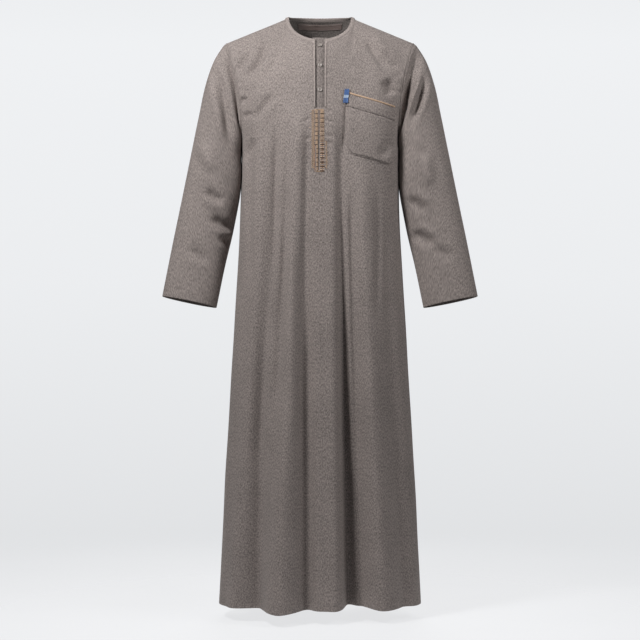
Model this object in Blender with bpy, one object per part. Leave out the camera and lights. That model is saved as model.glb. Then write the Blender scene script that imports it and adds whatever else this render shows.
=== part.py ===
"""A long-sleeved thobe robe, filled out as if worn, built from the pieces that a tailor cuts.

Metres, +Z up. The wearer faces -Y, so +X is the wearer's left. The origin is the middle of the neck
opening, level with the neck points of the two shoulder seams.

Each body panel is a sheet over two coordinates: "across" runs from -1 at one side seam, through 0 at the
centre, to +1 at the other side seam, and "height" is Z. Below the underarm a level is one half of a rounded
ring. Above it the half ring blends into the shoulder seams and the neckline, and ends at the armholes.
Each panel is one cut of cloth. It is built as two solids, a top and a skirt, that meet at the underarm, so
that collision can follow the shape of each.
"""

import math
from collections import namedtuple

import bmesh
import bpy
import numpy as np

# Driving sizes.
NECK_HALF_WIDTH = 0.083
NECK_FRONT_DROP = 0.070
NECK_FRONT_REACH = 0.080
NECK_BACK_DROP = -0.003
NECK_BACK_REACH = 0.070
SHOULDER_HALF_WIDTH = 0.229
SHOULDER_DROP = 0.060
SHOULDER_SLOPE = SHOULDER_DROP / (SHOULDER_HALF_WIDTH - NECK_HALF_WIDTH)
UNDERARM_HEIGHT = -0.318
HEM_HEIGHT = -1.417
ARMHOLE_HALF_DEPTH = 0.062
ARMHOLE_INSET = 0.042
TOP_LEAN = 0.62  # how far the cloth would lean in for each metre that it ran on above its top edge
WALL = 0.0015
TRIM_WALL = 0.0010
SEAM_GAP = 0.0004
LAID_ON_GAP = 0.0011

SLOT_HALF_WIDTH = 0.0115
SLOT_ROW = 4
BAND_HALF_WIDTH = 0.0160
BAND_SETBACK = 0.0020
EDGE_INSET = 0.001  # in across
BAND_ABOVE_EDGE = 0.013
BAND_BELOW_SLOT = 0.008
EDGE_WIDTH = 0.0036
BINDING_HEIGHT = 0.0050
BINDING_WALL = 0.0022
BINDING_GAP = 0.0010
BINDING_LEAN = 0.6
BINDING_SIDE_LEAN = 3.0
BUTTON_RADIUS = 0.0052
BUTTON_SHANK = 0.0005
BUTTON_HEIGHTS = (-0.0765, -0.128, -0.188)

POCKET_INNER = 0.058
POCKET_OUTER = 0.177
POCKET_TOP = -0.191
POCKET_SLANT = 0.243
POCKET_HEIGHT = 0.147
POCKET_BAND_HEIGHT = 0.036
POCKET_PIPING_HEIGHT = 0.0042
POCKET_CORNER_WIDTH = 0.020
POCKET_CORNER_HEIGHT = 0.026
LABEL_WIDTH = 0.0125
LABEL_HEIGHT = 0.034
LABEL_ABOVE_POCKET = 0.004
LABEL_BESIDE_POCKET = 0.003
PIPING_WALL = 1.5 * TRIM_WALL
NECK_TAPE_ACROSS = 0.15
NECK_TAPE_TOP = -0.004
NECK_TAPE_HEIGHT = 0.014
NECK_TAPE_GAP = 2.5 * LAID_ON_GAP

FRONT, BACK = -1, 1
TOP_ROWS = 10
TOP_SHARES = (1 - np.cos(np.linspace(0, math.pi, TOP_ROWS + 1)[1:])) / 2

Section = namedtuple("Section", "height half_width front_depth back_depth squareness")
BODY_SECTIONS = (
    Section(UNDERARM_HEIGHT, 0.1900, 0.135, 0.124, 2.60),
    Section(-0.455, 0.1920, 0.134, 0.127, 2.55),
    Section(-0.734, 0.2070, 0.132, 0.138, 2.40),
    Section(-1.025, 0.2245, 0.132, 0.152, 2.30),
    Section(HEM_HEIGHT, 0.2450, 0.134, 0.172, 2.20),
)

# How steeply the cloth falls away from the top edge at an X. A low value leaves a level ridge.
Slope = namedtuple("Slope", "x steepness")
SLOPES = (
    Slope(0.0, 0.65),
    Slope(NECK_HALF_WIDTH, 0.80),
    Slope(0.140, 0.56),
    Slope(SHOULDER_HALF_WIDTH, 0.48),
)

# How far, in degrees, the lines of each panel have swung round the body by the time they reach the hem.
Fan = namedtuple("Fan", "across front back")
FANS = (
    Fan(-1.00, 0.0, 0.0),
    Fan(-0.48, -13.0, -6.0),
    Fan(-0.20, -7.0, -4.0),
    Fan(-0.09, 0.5, -1.0),
    Fan(0.10, 2.0, 2.0),
    Fan(0.34, 6.0, 4.0),
    Fan(0.60, 6.0, 5.0),
    Fan(1.00, 0.0, 0.0),
)

# A fold runs down one line of the panel. Rise is how far it stands out of the plain form, left and right are
# its half widths at its top, and grow is how much wider it is at the hem.
Fold = namedtuple("Fold", "across top bottom rise_top rise_bottom left right grow")
FRONT_FOLDS = (
    Fold(-0.478, -0.30, HEM_HEIGHT, 0.005, 0.010, 0.030, 0.034, 1.25),
    Fold(-0.388, -0.24, -1.140, -0.008, -0.009, 0.016, 0.013, 1.20),
    Fold(-0.320, -0.62, HEM_HEIGHT, -0.003, -0.011, 0.030, 0.014, 1.50),
    Fold(-0.262, -0.46, -1.020, -0.005, -0.006, 0.008, 0.008, 1.10),
    Fold(-0.176, -0.20, HEM_HEIGHT, 0.009, 0.050, 0.015, 0.022, 1.50),
    Fold(-0.088, -0.22, HEM_HEIGHT, -0.006, -0.020, 0.016, 0.012, 1.25),
    Fold(0.068, -0.36, HEM_HEIGHT, 0.003, 0.011, 0.028, 0.020, 1.10),
    Fold(0.174, -0.20, HEM_HEIGHT, -0.009, -0.058, 0.012, 0.016, 1.50),
    Fold(0.210, -0.36, -1.140, 0.006, 0.008, 0.008, 0.008, 1.10),
    Fold(0.250, -0.36, HEM_HEIGHT, -0.009, -0.032, 0.010, 0.013, 1.25),
    Fold(0.340, -0.30, HEM_HEIGHT, 0.006, 0.018, 0.020, 0.030, 1.40),
    Fold(0.578, -0.42, HEM_HEIGHT, -0.004, -0.010, 0.026, 0.030, 1.20),
)
BACK_FOLDS = (
    Fold(-0.522, -0.26, HEM_HEIGHT, -0.006, -0.026, 0.024, 0.030, 1.40),
    Fold(-0.344, -0.20, HEM_HEIGHT, 0.008, 0.032, 0.024, 0.024, 1.50),
    Fold(-0.167, -0.18, HEM_HEIGHT, -0.008, -0.034, 0.020, 0.018, 1.50),
    Fold(-0.022, -0.24, HEM_HEIGHT, 0.006, 0.026, 0.028, 0.024, 1.40),
    Fold(0.122, -0.20, HEM_HEIGHT, -0.006, -0.028, 0.016, 0.024, 1.50),
    Fold(0.300, -0.22, HEM_HEIGHT, 0.009, 0.034, 0.026, 0.026, 1.40),
    Fold(0.489, -0.26, HEM_HEIGHT, -0.006, -0.030, 0.020, 0.030, 1.50),
)
HEM_HANG = 0.08  # a fold that stands out by 1 hangs this much lower at the hem
HANG_HEIGHT = 0.35
FOLD_LEAD_IN = 0.14
FOLD_RUN_OUT = 0.16
FOLDS_FADE_FROM = 0.86  # in across
FOLDS_FADE_OVER = 0.12
DRAPE_DELAY = 1.2  # above 1, folds and swing grow slowly at first

# Hug is how far the sleeve's inner side reaches round the body, in front of its side seam and behind it.
SleeveSection = namedtuple("SleeveSection", "outer_x outer_z inner_x inner_z half_depth forward hug")
SLEEVE_SECTIONS = (
    SleeveSection(
        SHOULDER_HALF_WIDTH, -SHOULDER_DROP, 0.1900, UNDERARM_HEIGHT, ARMHOLE_HALF_DEPTH, 0.000, 0.0000
    ),
    SleeveSection(0.2570, -0.1030, 0.1952, -0.3340, 0.064, 0.001, 0.0050),
    SleeveSection(0.2765, -0.1600, 0.1948, -0.3560, 0.066, 0.002, 0.0110),
    SleeveSection(0.2938, -0.2400, 0.1946, -0.3920, 0.065, 0.004, 0.0148),
    SleeveSection(0.3119, -0.3300, 0.1960, -0.4380, 0.062, 0.008, 0.0110),
    SleeveSection(0.3338, -0.4400, 0.2090, -0.5155, 0.057, 0.014, 0.0020),
    SleeveSection(0.3562, -0.5520, 0.2290, -0.6030, 0.051, 0.024, 0.0000),
    SleeveSection(0.3796, -0.6748, 0.2488, -0.7020, 0.047, 0.036, 0.0000),
)
SLEEVE_BLEND = 0.16  # share of the sleeve over which its rings leave the armhole's own shape
CUFF_TILT = 0.0035  # the cuff's front edge is this much higher than its side ends, and its back edge lower
CUFF_TILT_SHARE = 0.2

Finish = namedtuple("Finish", "name colour roughness metallic")
CLOTH = Finish("taupe_chambray", (0.165, 0.140, 0.128), 0.85, 0.0)
EDGE_CLOTH = Finish("taupe_binding", (0.235, 0.195, 0.170), 0.80, 0.0)
TAN = Finish("tan_piping", (0.360, 0.240, 0.160), 0.75, 0.0)
BLUE = Finish("blue_label", (0.050, 0.110, 0.300), 0.60, 0.0)
TAPE = Finish("neck_tape", (0.110, 0.085, 0.075), 0.80, 0.0)
PEARL = Finish("button_resin", (0.420, 0.380, 0.350), 0.30, 0.0)


def clear_scene():
    for item in list(bpy.data.objects):
        bpy.data.objects.remove(item, do_unlink=True)


def material(finish):
    made = bpy.data.materials.get(finish.name) or bpy.data.materials.new(finish.name)
    made.use_nodes = True
    shader = made.node_tree.nodes["Principled BSDF"]
    shader.inputs["Base Color"].default_value = (*finish.colour, 1.0)
    shader.inputs["Roughness"].default_value = finish.roughness
    shader.inputs["Metallic"].default_value = finish.metallic
    return made


def smooth_step(value):
    value = np.clip(value, 0.0, 1.0)
    return value * value * (3.0 - 2.0 * value)


def smooth_table(at, places, values):
    """A smooth curve through a short table, with places in rising order."""
    places, values = np.asarray(places, float), np.asarray(values, float)
    slopes = np.gradient(values, places)
    at = np.clip(at, places[0], places[-1])
    k = np.clip(np.searchsorted(places, at) - 1, 0, len(places) - 2)
    step = places[k + 1] - places[k]
    s = (at - places[k]) / step
    ends = (1 + 2 * s) * (1 - s) ** 2 * values[k] + s * s * (3 - 2 * s) * values[k + 1]
    return ends + step * (s * (1 - s) ** 2 * slopes[k] - s * s * (1 - s) * slopes[k + 1])


def body_size(height, column):
    rows = BODY_SECTIONS[::-1]
    places = [row.height for row in rows]
    return smooth_table(height, places, [getattr(row, column) for row in rows])


ACROSS_SLOT = math.asin(SLOT_HALF_WIDTH / BODY_SECTIONS[0].half_width) / (math.pi / 2)
ACROSS_NECK = 0.30


def top_x(across):
    """X where a column ends at the top: straight up beside the slot, then closing up towards the neck point,
    then even along the shoulder seam."""
    size = np.abs(across)
    straight = BODY_SECTIONS[0].half_width * np.sin(size * math.pi / 2)
    share = np.clip((size - ACROSS_SLOT) / (ACROSS_NECK - ACROSS_SLOT), 0, 1)
    neck = SLOT_HALF_WIDTH + (NECK_HALF_WIDTH - SLOT_HALF_WIDTH) * np.sin(share * math.pi / 2)
    along = np.clip((size - ACROSS_NECK) / (1 - ACROSS_NECK), 0, 1)
    shoulder = NECK_HALF_WIDTH + (SHOULDER_HALF_WIDTH - NECK_HALF_WIDTH) * along
    x = np.where(size < ACROSS_SLOT, straight, np.where(size < ACROSS_NECK, neck, shoulder))
    return np.sign(across) * x


def neck_share(x):
    return np.sqrt(np.clip(1 - (x / NECK_HALF_WIDTH) ** 2, 0, 1))


def top_z(across, side):
    x = np.abs(top_x(across))
    drop = NECK_FRONT_DROP if side == FRONT else NECK_BACK_DROP
    return -drop * neck_share(x) - SHOULDER_SLOPE * np.clip(x - NECK_HALF_WIDTH, 0, None)


def plain_form(across, height, side):
    """The panel's surface before its folds, as points. Heights above the top edge run on straight."""
    across, height = np.broadcast_arrays(np.asarray(across, float), np.asarray(height, float))
    low = np.minimum(height, UNDERARM_HEIGHT)
    half_width = body_size(low, "half_width")
    depth = body_size(low, "front_depth" if side == FRONT else "back_depth")
    squareness = body_size(low, "squareness")
    fan_column = "front" if side == FRONT else "back"
    swing = smooth_table(across, [fan.across for fan in FANS], [getattr(fan, fan_column) for fan in FANS])
    run = np.clip((UNDERARM_HEIGHT - height) / (UNDERARM_HEIGHT - HEM_HEIGHT), 0, 1)
    bearing = across * math.pi / 2 + np.radians(swing) * run**DRAPE_DELAY
    ring_x = half_width * np.sin(bearing)

    end_x, end_z = top_x(across), top_z(across, side)
    reach = NECK_FRONT_REACH if side == FRONT else NECK_BACK_REACH
    end_y = reach * neck_share(end_x)
    q = np.clip((height - UNDERARM_HEIGHT) / (end_z - UNDERARM_HEIGHT), 0, 1)
    steepness = smooth_table(np.abs(end_x), [row.x for row in SLOPES], [row.steepness for row in SLOPES])
    forward = (1 - q**2) ** steepness
    outermost = np.maximum(1 - q**2, 1e-9) ** SLOPES[-1].steepness
    armhole_share = 2 * ARMHOLE_HALF_DEPTH * np.sqrt(q * (1 - q)) / (depth * outermost)
    rounding = np.abs(np.sin(bearing)) ** squareness * (1 - armhole_share**squareness)
    ring_y = depth * np.clip(1 - rounding, 0, None) ** (1 / squareness)
    x = (ring_x + (end_x - ring_x) * q**1.5) * (1 - ARMHOLE_INSET * 4 * q * (1 - q))
    y = end_y + (ring_y - end_y) * forward
    over = np.clip(height - end_z, 0, None)
    y = np.where(over > 0, end_y - TOP_LEAN * over, y)
    return np.stack([x, side * (y + SEAM_GAP / 2), height], axis=-1)


def fold_rise(across, height, side):
    """How far the folds stand out of the plain form."""
    across, height = np.broadcast_arrays(np.asarray(across, float), np.asarray(height, float))
    radius = body_size(np.minimum(height, UNDERARM_HEIGHT), "half_width")
    total = np.zeros_like(height)
    for fold in FRONT_FOLDS if side == FRONT else BACK_FOLDS:
        run = np.clip((fold.top - height) / (fold.top - fold.bottom), 0, 1)
        away = radius * (across - fold.across) * math.pi / 2
        width = np.where(away < 0, fold.left, fold.right) * (1 + (fold.grow - 1) * run)
        start = smooth_step((fold.top - height) / FOLD_LEAD_IN)
        end = 1.0 if fold.bottom <= HEM_HEIGHT else smooth_step((height - fold.bottom) / FOLD_RUN_OUT)
        rise = fold.rise_top + (fold.rise_bottom - fold.rise_top) * run**DRAPE_DELAY
        total += rise * start * end * np.exp(-((away / width) ** 2))
    return total * (1 - smooth_step((np.abs(across) - FOLDS_FADE_FROM) / FOLDS_FADE_OVER))


def out_of(across, height, side):
    """Unit normals of the plain form, facing out."""
    step = 1e-4
    inner = np.clip(across, -1 + step, 1 - step)
    left = plain_form(inner - step, height, side)
    right = plain_form(inner + step, height, side)
    low = plain_form(inner, height - 2 * step, side)
    high = plain_form(inner, height, side)
    normal = np.cross(right - left, high - low) * -side
    return normal / np.linalg.norm(normal, axis=-1, keepdims=True)


def panel_surface(across, height, side, out=0.0):
    """The panel's outer face with its folds, moved out by a distance."""
    across, height = np.broadcast_arrays(np.asarray(across, float), np.asarray(height, float))
    normal = out_of(across, height, side)
    rise = fold_rise(across, height, side)
    point = plain_form(across, height, side) + normal * (rise + out)[..., None]
    low = smooth_step((HEM_HEIGHT + HANG_HEIGHT - height) / HANG_HEIGHT)
    point[..., 2] -= HEM_HANG * rise * low
    return point


def across_of(x):
    """The across coordinate of the line that passes the underarm's level at this X."""
    return math.asin(x / BODY_SECTIONS[0].half_width) / (math.pi / 2)


class Panel:
    """A body panel as a grid of points. Columns run up from the hem and rows run across."""

    def __init__(self, side, columns, skirt_rows):
        self.side = side
        self.columns = columns
        skirt = np.linspace(HEM_HEIGHT, UNDERARM_HEIGHT, skirt_rows + 1)
        tops = top_z(columns, side)
        upper = UNDERARM_HEIGHT + TOP_SHARES * (tops[:, None] - UNDERARM_HEIGHT)
        self.heights = np.concatenate([np.tile(skirt, (len(columns), 1)), upper], axis=1)
        self.skirt_rows = skirt_rows
        self.slot_row = skirt_rows + SLOT_ROW
        across = np.tile(columns[:, None], (1, self.heights.shape[1]))
        self.outer = panel_surface(across, self.heights, side)
        self.normals = self.grid_normals(skirt_rows)

    def grid_normals(self, skirt_rows):
        """Unit normals of the grid, facing out. On the side and shoulder seams both panels share them."""
        normals = np.cross(np.gradient(self.outer, axis=0), np.gradient(self.outer, axis=1)) * -self.side
        normals[[0, -1], : skirt_rows + 1, 1] = 0
        shoulder = np.abs(self.columns) >= ACROSS_NECK - 1e-6
        away = np.sign(self.columns[shoulder]) * SHOULDER_SLOPE
        normals[shoulder, -1] = np.stack([away, np.zeros_like(away), np.ones_like(away)], axis=-1)
        return normals / np.linalg.norm(normals, axis=-1, keepdims=True)

    def laid(self, across, height, out):
        """Points on the panel's own faces, moved out. Above the top edge they run straight on."""
        across, height = np.broadcast_arrays(np.asarray(across, float), np.asarray(height, float))
        grid = self.outer + self.normals * out
        i = np.clip(np.searchsorted(self.columns, across) - 1, 0, len(self.columns) - 2)
        s = (across - self.columns[i]) / (self.columns[i + 1] - self.columns[i])
        levels = self.heights[i] * (1 - s)[..., None] + self.heights[i + 1] * s[..., None]
        j = np.clip(np.sum(levels < height[..., None], axis=-1) - 1, 0, levels.shape[-1] - 2)
        low = np.take_along_axis(levels, j[..., None], -1)[..., 0]
        high = np.take_along_axis(levels, j[..., None] + 1, -1)[..., 0]
        t = (height - low) / (high - low)
        s, t = s[..., None], t[..., None]
        lower = grid[i, j] * (1 - s) + grid[i + 1, j] * s
        upper = grid[i, j + 1] * (1 - s) + grid[i + 1, j + 1] * s
        return lower * (1 - t) + upper * t

    def walls(self, name, keep):
        """Builds the panel's top and skirt, which meet at the underarm with a seam's gap between them."""
        inner = self.outer - self.normals * WALL
        split = self.skirt_rows
        wall(f"{name}_skirt", self.outer[:, : split + 1], inner[:, : split + 1], CLOTH)
        tops = [points[:, split:].copy() for points in (self.outer, inner)]
        for points in tops:
            step = points[:, 1] - points[:, 0]
            points[:, 0] += step * SEAM_GAP / np.linalg.norm(step, axis=1, keepdims=True)
        wall(f"{name}_top", *tops, CLOTH, keep=keep[:, split:])

    def between(self, low, high):
        """The numbers of the columns from one across coordinate to another."""
        return np.flatnonzero((self.columns > low - 1e-6) & (self.columns < high + 1e-6))

    def within(self, low, high):
        """The across coordinates of a piece between two limits: the limits and the columns between them."""
        inner = self.columns[(self.columns > low + 0.004) & (self.columns < high - 0.004)]
        return np.concatenate([[low], inner, [high]])


def grid_mesh(points, closed=False, keep=None):
    """A bmesh grid moved onto an array of points. keep says which faces stay."""
    columns, rows = points.shape[:2]
    mesh = bmesh.new()
    bmesh.ops.create_grid(mesh, x_segments=columns - 1, y_segments=rows - 1, size=0.5)
    place = {}
    for vertex in mesh.verts:
        i = round((vertex.co.x + 0.5) * (columns - 1))
        j = round((vertex.co.y + 0.5) * (rows - 1))
        place[vertex] = (i, j)
    if keep is not None:
        gone = [f for f in mesh.faces if not keep[tuple(np.min([place[v] for v in f.verts], axis=0))]]
        bmesh.ops.delete(mesh, geom=gone, context="FACES")
    place = {vertex: at for vertex, at in place.items() if vertex.is_valid}
    for vertex, at in place.items():
        vertex.co = points[at]
    if closed:
        ends = {at[1]: vertex for vertex, at in place.items() if at[0] == columns - 1}
        starts = {at[1]: vertex for vertex, at in place.items() if at[0] == 0}
        for j, vertex in ends.items():
            place.pop(vertex)
            bmesh.ops.pointmerge(mesh, verts=[starts[j], vertex], merge_co=starts[j].co)
    return mesh, place


def rim_loops(mesh):
    """The boundary edges of a sheet, sorted into loops."""
    waiting = {edge for edge in mesh.edges if edge.is_boundary}
    loops = []
    while waiting:
        loop = [waiting.pop()]
        for edge in loop:
            for vertex in edge.verts:
                beside = waiting.intersection(vertex.link_edges)
                waiting -= beside
                loop.extend(beside)
        loops.append(loop)
    return loops


def wall(name, outer, inner, finish, closed=False, keep=None):
    """A closed wall between an outer and an inner array of points, as one object."""
    mesh, place = grid_mesh(outer, closed, keep)
    loops = rim_loops(mesh)
    copied = bmesh.ops.duplicate(mesh, geom=[*mesh.verts, *mesh.edges, *mesh.faces])
    for vertex, at in place.items():
        copied["vert_map"][vertex].co = inner[at]
    inner_faces = [item for item in copied["geom"] if isinstance(item, bmesh.types.BMFace)]
    bmesh.ops.reverse_faces(mesh, faces=inner_faces)
    for loop in loops:
        bmesh.ops.bridge_loops(mesh, edges=[*loop, *(copied["edge_map"][edge] for edge in loop)])
    bmesh.ops.recalc_face_normals(mesh, faces=mesh.faces[:])
    return finished(name, mesh, finish)


def finished(name, mesh, finish):
    data = bpy.data.meshes.new(name)
    mesh.to_mesh(data)
    mesh.free()
    data.materials.append(material(finish))
    data.shade_smooth()
    data.set_sharp_from_angle(angle=math.radians(40))
    made = bpy.data.objects.new(name, data)
    bpy.context.scene.collection.objects.link(made)
    return made


def columns_through(stops, longest):
    """Columns at every stop, with even steps no longer than a limit between them."""
    stops = sorted(set(stops))
    runs = [np.linspace(a, b, math.ceil((b - a) / longest) + 1)[:-1] for a, b in zip(stops, stops[1:])]
    return np.concatenate([*runs, [stops[-1]]])


def front_panel():
    edges = [1, ACROSS_NECK, ACROSS_SLOT]
    stops = [*edges, *(-edge for edge in edges), *(fold.across for fold in FRONT_FOLDS)]
    panel = Panel(FRONT, columns_through(stops, 0.065), 12)
    middles = (panel.columns[:-1] + panel.columns[1:]) / 2
    keep = np.ones(panel.heights.shape, bool)
    keep[:-1, panel.slot_row:] = np.abs(middles)[:, None] > ACROSS_SLOT
    panel.walls("front_panel", keep)
    return panel


def back_panel():
    edges = [1, ACROSS_NECK]
    stops = [*edges, *(-edge for edge in edges), *(fold.across for fold in BACK_FOLDS)]
    panel = Panel(BACK, columns_through(stops, 0.09), 9)
    panel.walls("back_panel", np.ones(panel.heights.shape, bool))
    return panel


def sleeve_size(along, column):
    """A size of the sleeve at a share of its length."""
    rows = SLEEVE_SECTIONS
    middle = np.array([((r.outer_x + r.inner_x) / 2, (r.outer_z + r.inner_z) / 2) for r in rows])
    reach = np.concatenate([[0], np.cumsum(np.linalg.norm(np.diff(middle, axis=0), axis=1))])
    return smooth_table(along, reach / reach[-1], [getattr(row, column) for row in rows])


def armhole(turn, hand):
    """Points of the armhole's edge. Turn is 0 at the shoulder, pi/2 at the front and pi at the underarm."""
    share = (1 + np.cos(turn)) / 2
    height = UNDERARM_HEIGHT + share * (-SHOULDER_DROP - UNDERARM_HEIGHT)
    ends = np.full(turn.shape, float(hand))
    front = (np.sin(turn) >= 0)[..., None]
    return np.where(front, panel_surface(ends, height, FRONT), panel_surface(ends, height, BACK))


def sleeve_form(turn, along, hand):
    forward = sleeve_size(along, "forward")
    outer = np.stack([sleeve_size(along, "outer_x"), -forward, sleeve_size(along, "outer_z")], axis=-1)
    inner = np.stack([sleeve_size(along, "inner_x"), -forward, sleeve_size(along, "inner_z")], axis=-1)
    middle, reach = (outer + inner) / 2, (outer - inner) / 2
    point = middle + reach * np.cos(turn)[..., None]
    forward_share = np.sin(turn)
    point[..., 1] -= sleeve_size(along, "half_depth") * forward_share
    round_body = np.where(np.cos(turn) < 0, 4 * forward_share**2 * (1 - forward_share**2), 0)
    point[..., 0] -= sleeve_size(along, "hug") * round_body
    point[..., 2] += CUFF_TILT * forward_share * smooth_step(1 - (1 - along) / CUFF_TILT_SHARE)
    return point * (hand, 1, 1)


def sleeve(hand):
    """One sleeve, a tube from the armhole to an open cuff."""
    turn = np.linspace(0, 2 * math.pi, 2 * TOP_ROWS + 1)
    along = np.concatenate([np.linspace(0, 0.30, 7), np.linspace(0.30, 1, 7)[1:]])
    turns, alongs = np.meshgrid(turn, along, indexing="ij")
    edge = armhole(turn, hand) + (hand * SEAM_GAP, 0, 0)
    start = sleeve_form(turn, np.zeros_like(turn), hand)
    leave = (1 - smooth_step(alongs / SLEEVE_BLEND))[..., None]
    outer = sleeve_form(turns, alongs, hand) + (edge - start)[:, None, :] * leave
    middle = outer.mean(axis=0, keepdims=True)
    tangent = np.gradient(outer, axis=1)
    around = np.roll(outer[:-1], -1, axis=0) - np.roll(outer[:-1], 1, axis=0)
    around = np.concatenate([around, around[:1]])
    normal = np.cross(around, tangent)
    normal *= np.sign(np.sum(normal * (outer - middle), axis=-1, keepdims=True))
    normal /= np.linalg.norm(normal, axis=-1, keepdims=True)
    shared = leave * smooth_step(np.cos(turn))[:, None, None]
    shoulder = np.array([hand * SHOULDER_SLOPE, 0, 1]) / math.hypot(SHOULDER_SLOPE, 1)
    normal = normal * (1 - shared) + shoulder * shared
    normal /= np.linalg.norm(normal, axis=-1, keepdims=True)
    name = "sleeve_left" if hand > 0 else "sleeve_right"
    return wall(name, outer, outer - normal * WALL, CLOTH, closed=True)


def neck_edge(front, back):
    """Points, normals and upright directions along the neckline, from one side of the slot round the back to
    the other."""
    right = front.between(ACROSS_SLOT, ACROSS_NECK)
    left = front.between(-ACROSS_NECK, -ACROSS_SLOT)
    behind = back.between(-ACROSS_NECK, ACROSS_NECK)[1:-1]
    runs = [(front, right), (back, behind[::-1]), (front, left)]
    points = np.concatenate([panel.outer[columns, -1] for panel, columns in runs])
    tangent = np.gradient(points, axis=0)
    tangent /= np.linalg.norm(tangent, axis=1, keepdims=True)
    side_share = (points[:, 0] / NECK_HALF_WIDTH) ** 4
    lean = BINDING_LEAN + (BINDING_SIDE_LEAN - BINDING_LEAN) * side_share
    up = -points * (lean / np.linalg.norm(points[:, :2], axis=1))[:, None]
    up[:, 2] = 1
    up -= tangent * np.sum(up * tangent, axis=1, keepdims=True)
    up /= np.linalg.norm(up, axis=1, keepdims=True)
    normals = np.cross(up, tangent)
    return points, normals, up


def strip(name, low, high, normals, out, thickness, finish):
    """A thin strip between two edges, each an array of points, standing out of them along the normals."""
    faces = np.stack([low, high], axis=1)
    offset = normals[:, None, :]
    return wall(name, faces + offset * (out + thickness), faces + offset * out, finish)


def neck_binding(front, back):
    points, normals, up = neck_edge(front, back)
    low = points + up * BINDING_GAP
    out = (BINDING_WALL - WALL) / 2 - BINDING_WALL
    return strip("neck_binding", low, low + up * BINDING_HEIGHT, normals, out, BINDING_WALL, EDGE_CLOTH)


def levels(low, high, rows):
    """Heights in even rows from a lower to an upper edge, for each column."""
    return low[:, None] + (high - low)[:, None] * np.linspace(0, 1, rows + 1)


def laid_piece(name, panel, across, height, out, thickness, finish):
    """A piece laid on a panel. Height has a row of levels for each of its columns."""
    across = np.tile(across[:, None], (1, height.shape[1]))
    outer, inner = (panel.laid(across, height, distance) for distance in (out + thickness, out))
    wall(name, outer, inner, finish)


def placket(panel):
    """The button band that shows in the slot, and the two folded edges beside it."""
    slot_column = int(np.argmin(np.abs(panel.columns - ACROSS_SLOT)))
    side = panel.heights[slot_column, panel.slot_row:]
    height = np.array([side[0] - BAND_BELOW_SLOT, *side, side[-1] + BAND_ABOVE_EDGE])
    half = across_of(BAND_HALF_WIDTH)
    across = panel.within(-half, half)
    height = np.tile(height, (len(across), 1))
    laid_piece("placket_band", panel, across, height, -2 * WALL - BAND_SETBACK, WALL, CLOTH)
    near, far = ACROSS_SLOT + EDGE_INSET, across_of(SLOT_HALF_WIDTH + EDGE_WIDTH)
    for name, limits in (("placket_edge_left", (near, far)), ("placket_edge_right", (-far, -near))):
        laid_piece(name, panel, np.array(limits), np.tile(side, (2, 1)), LAID_ON_GAP, TRIM_WALL, EDGE_CLOTH)


def button(number, height, panel):
    """A dished button, turned about its own axis and laid on the band."""
    profile = (
        (0.0, 0.0),
        (0.62, 0.0),
        (1.0, 0.16),
        (1.0, 0.30),
        (0.86, 0.46),
        (0.66, 0.40),
        (0.50, 0.30),
        (0.0, 0.26),
    )
    mesh = bmesh.new()
    verts = [mesh.verts.new((r * BUTTON_RADIUS, 0, z * BUTTON_RADIUS)) for r, z in profile]
    edges = [mesh.edges.new(pair) for pair in zip(verts, verts[1:])]
    turn = {"axis": (0, 0, 1), "angle": 2 * math.pi, "steps": 16, "use_merge": True}
    bmesh.ops.spin(mesh, geom=[*verts, *edges], cent=(0, 0, 0), **turn)
    bmesh.ops.remove_doubles(mesh, verts=mesh.verts[:], dist=0.00001)
    bmesh.ops.recalc_face_normals(mesh, faces=mesh.faces[:])
    made = finished(f"button_{number}", mesh, PEARL)
    normal = out_of(np.array([0.0]), np.array([height]), FRONT)[0]
    made.rotation_euler = (math.atan2(-normal[1], normal[2]), 0, 0)
    made.location = panel.laid([0.0], [height], -WALL - BAND_SETBACK + BUTTON_SHANK)[0]


def pocket(panel):
    """The chest pocket: a tan piping, a deep band below it and the bag with cut-off corners."""
    across = panel.within(across_of(POCKET_INNER), across_of(POCKET_OUTER))
    x = BODY_SECTIONS[0].half_width * np.sin(across * math.pi / 2)
    top = POCKET_TOP - POCKET_SLANT * (x - POCKET_INNER)
    from_edge = np.minimum(x - POCKET_INNER, POCKET_OUTER - x)
    cut = POCKET_CORNER_HEIGHT * np.clip(1 - from_edge / POCKET_CORNER_WIDTH, 0, 1) ** 1.5
    piping = top - POCKET_PIPING_HEIGHT
    band = top - POCKET_BAND_HEIGHT
    bottom = top - POCKET_HEIGHT + cut
    out = LAID_ON_GAP
    laid_piece("pocket_piping", panel, across, levels(piping, top, 1), out, PIPING_WALL, TAN)
    laid_piece("pocket_band", panel, across, levels(band, piping - SEAM_GAP, 3), out, TRIM_WALL, CLOTH)
    laid_piece("pocket_bag", panel, across, levels(bottom, band - SEAM_GAP, 7), out, TRIM_WALL, CLOTH)


def label(panel):
    """The plain blue tab at the pocket's upper inner corner."""
    start = POCKET_INNER - LABEL_BESIDE_POCKET
    across = np.linspace(across_of(start), across_of(start + LABEL_WIDTH), 4)
    top = np.full(across.shape, POCKET_TOP + LABEL_ABOVE_POCKET)
    out = LAID_ON_GAP + PIPING_WALL + SEAM_GAP
    laid_piece("label_tab", panel, across, levels(top - LABEL_HEIGHT, top, 5), out, TRIM_WALL, BLUE)


def neck_tape(panel):
    """A plain tape inside the back neck."""
    across = panel.within(-NECK_TAPE_ACROSS, NECK_TAPE_ACROSS)
    top = np.full(across.shape, NECK_TAPE_TOP)
    height = levels(top - NECK_TAPE_HEIGHT, top, 3)
    laid_piece("neck_tape", panel, across, height, -WALL - NECK_TAPE_GAP, TRIM_WALL / 2, TAPE)


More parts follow.
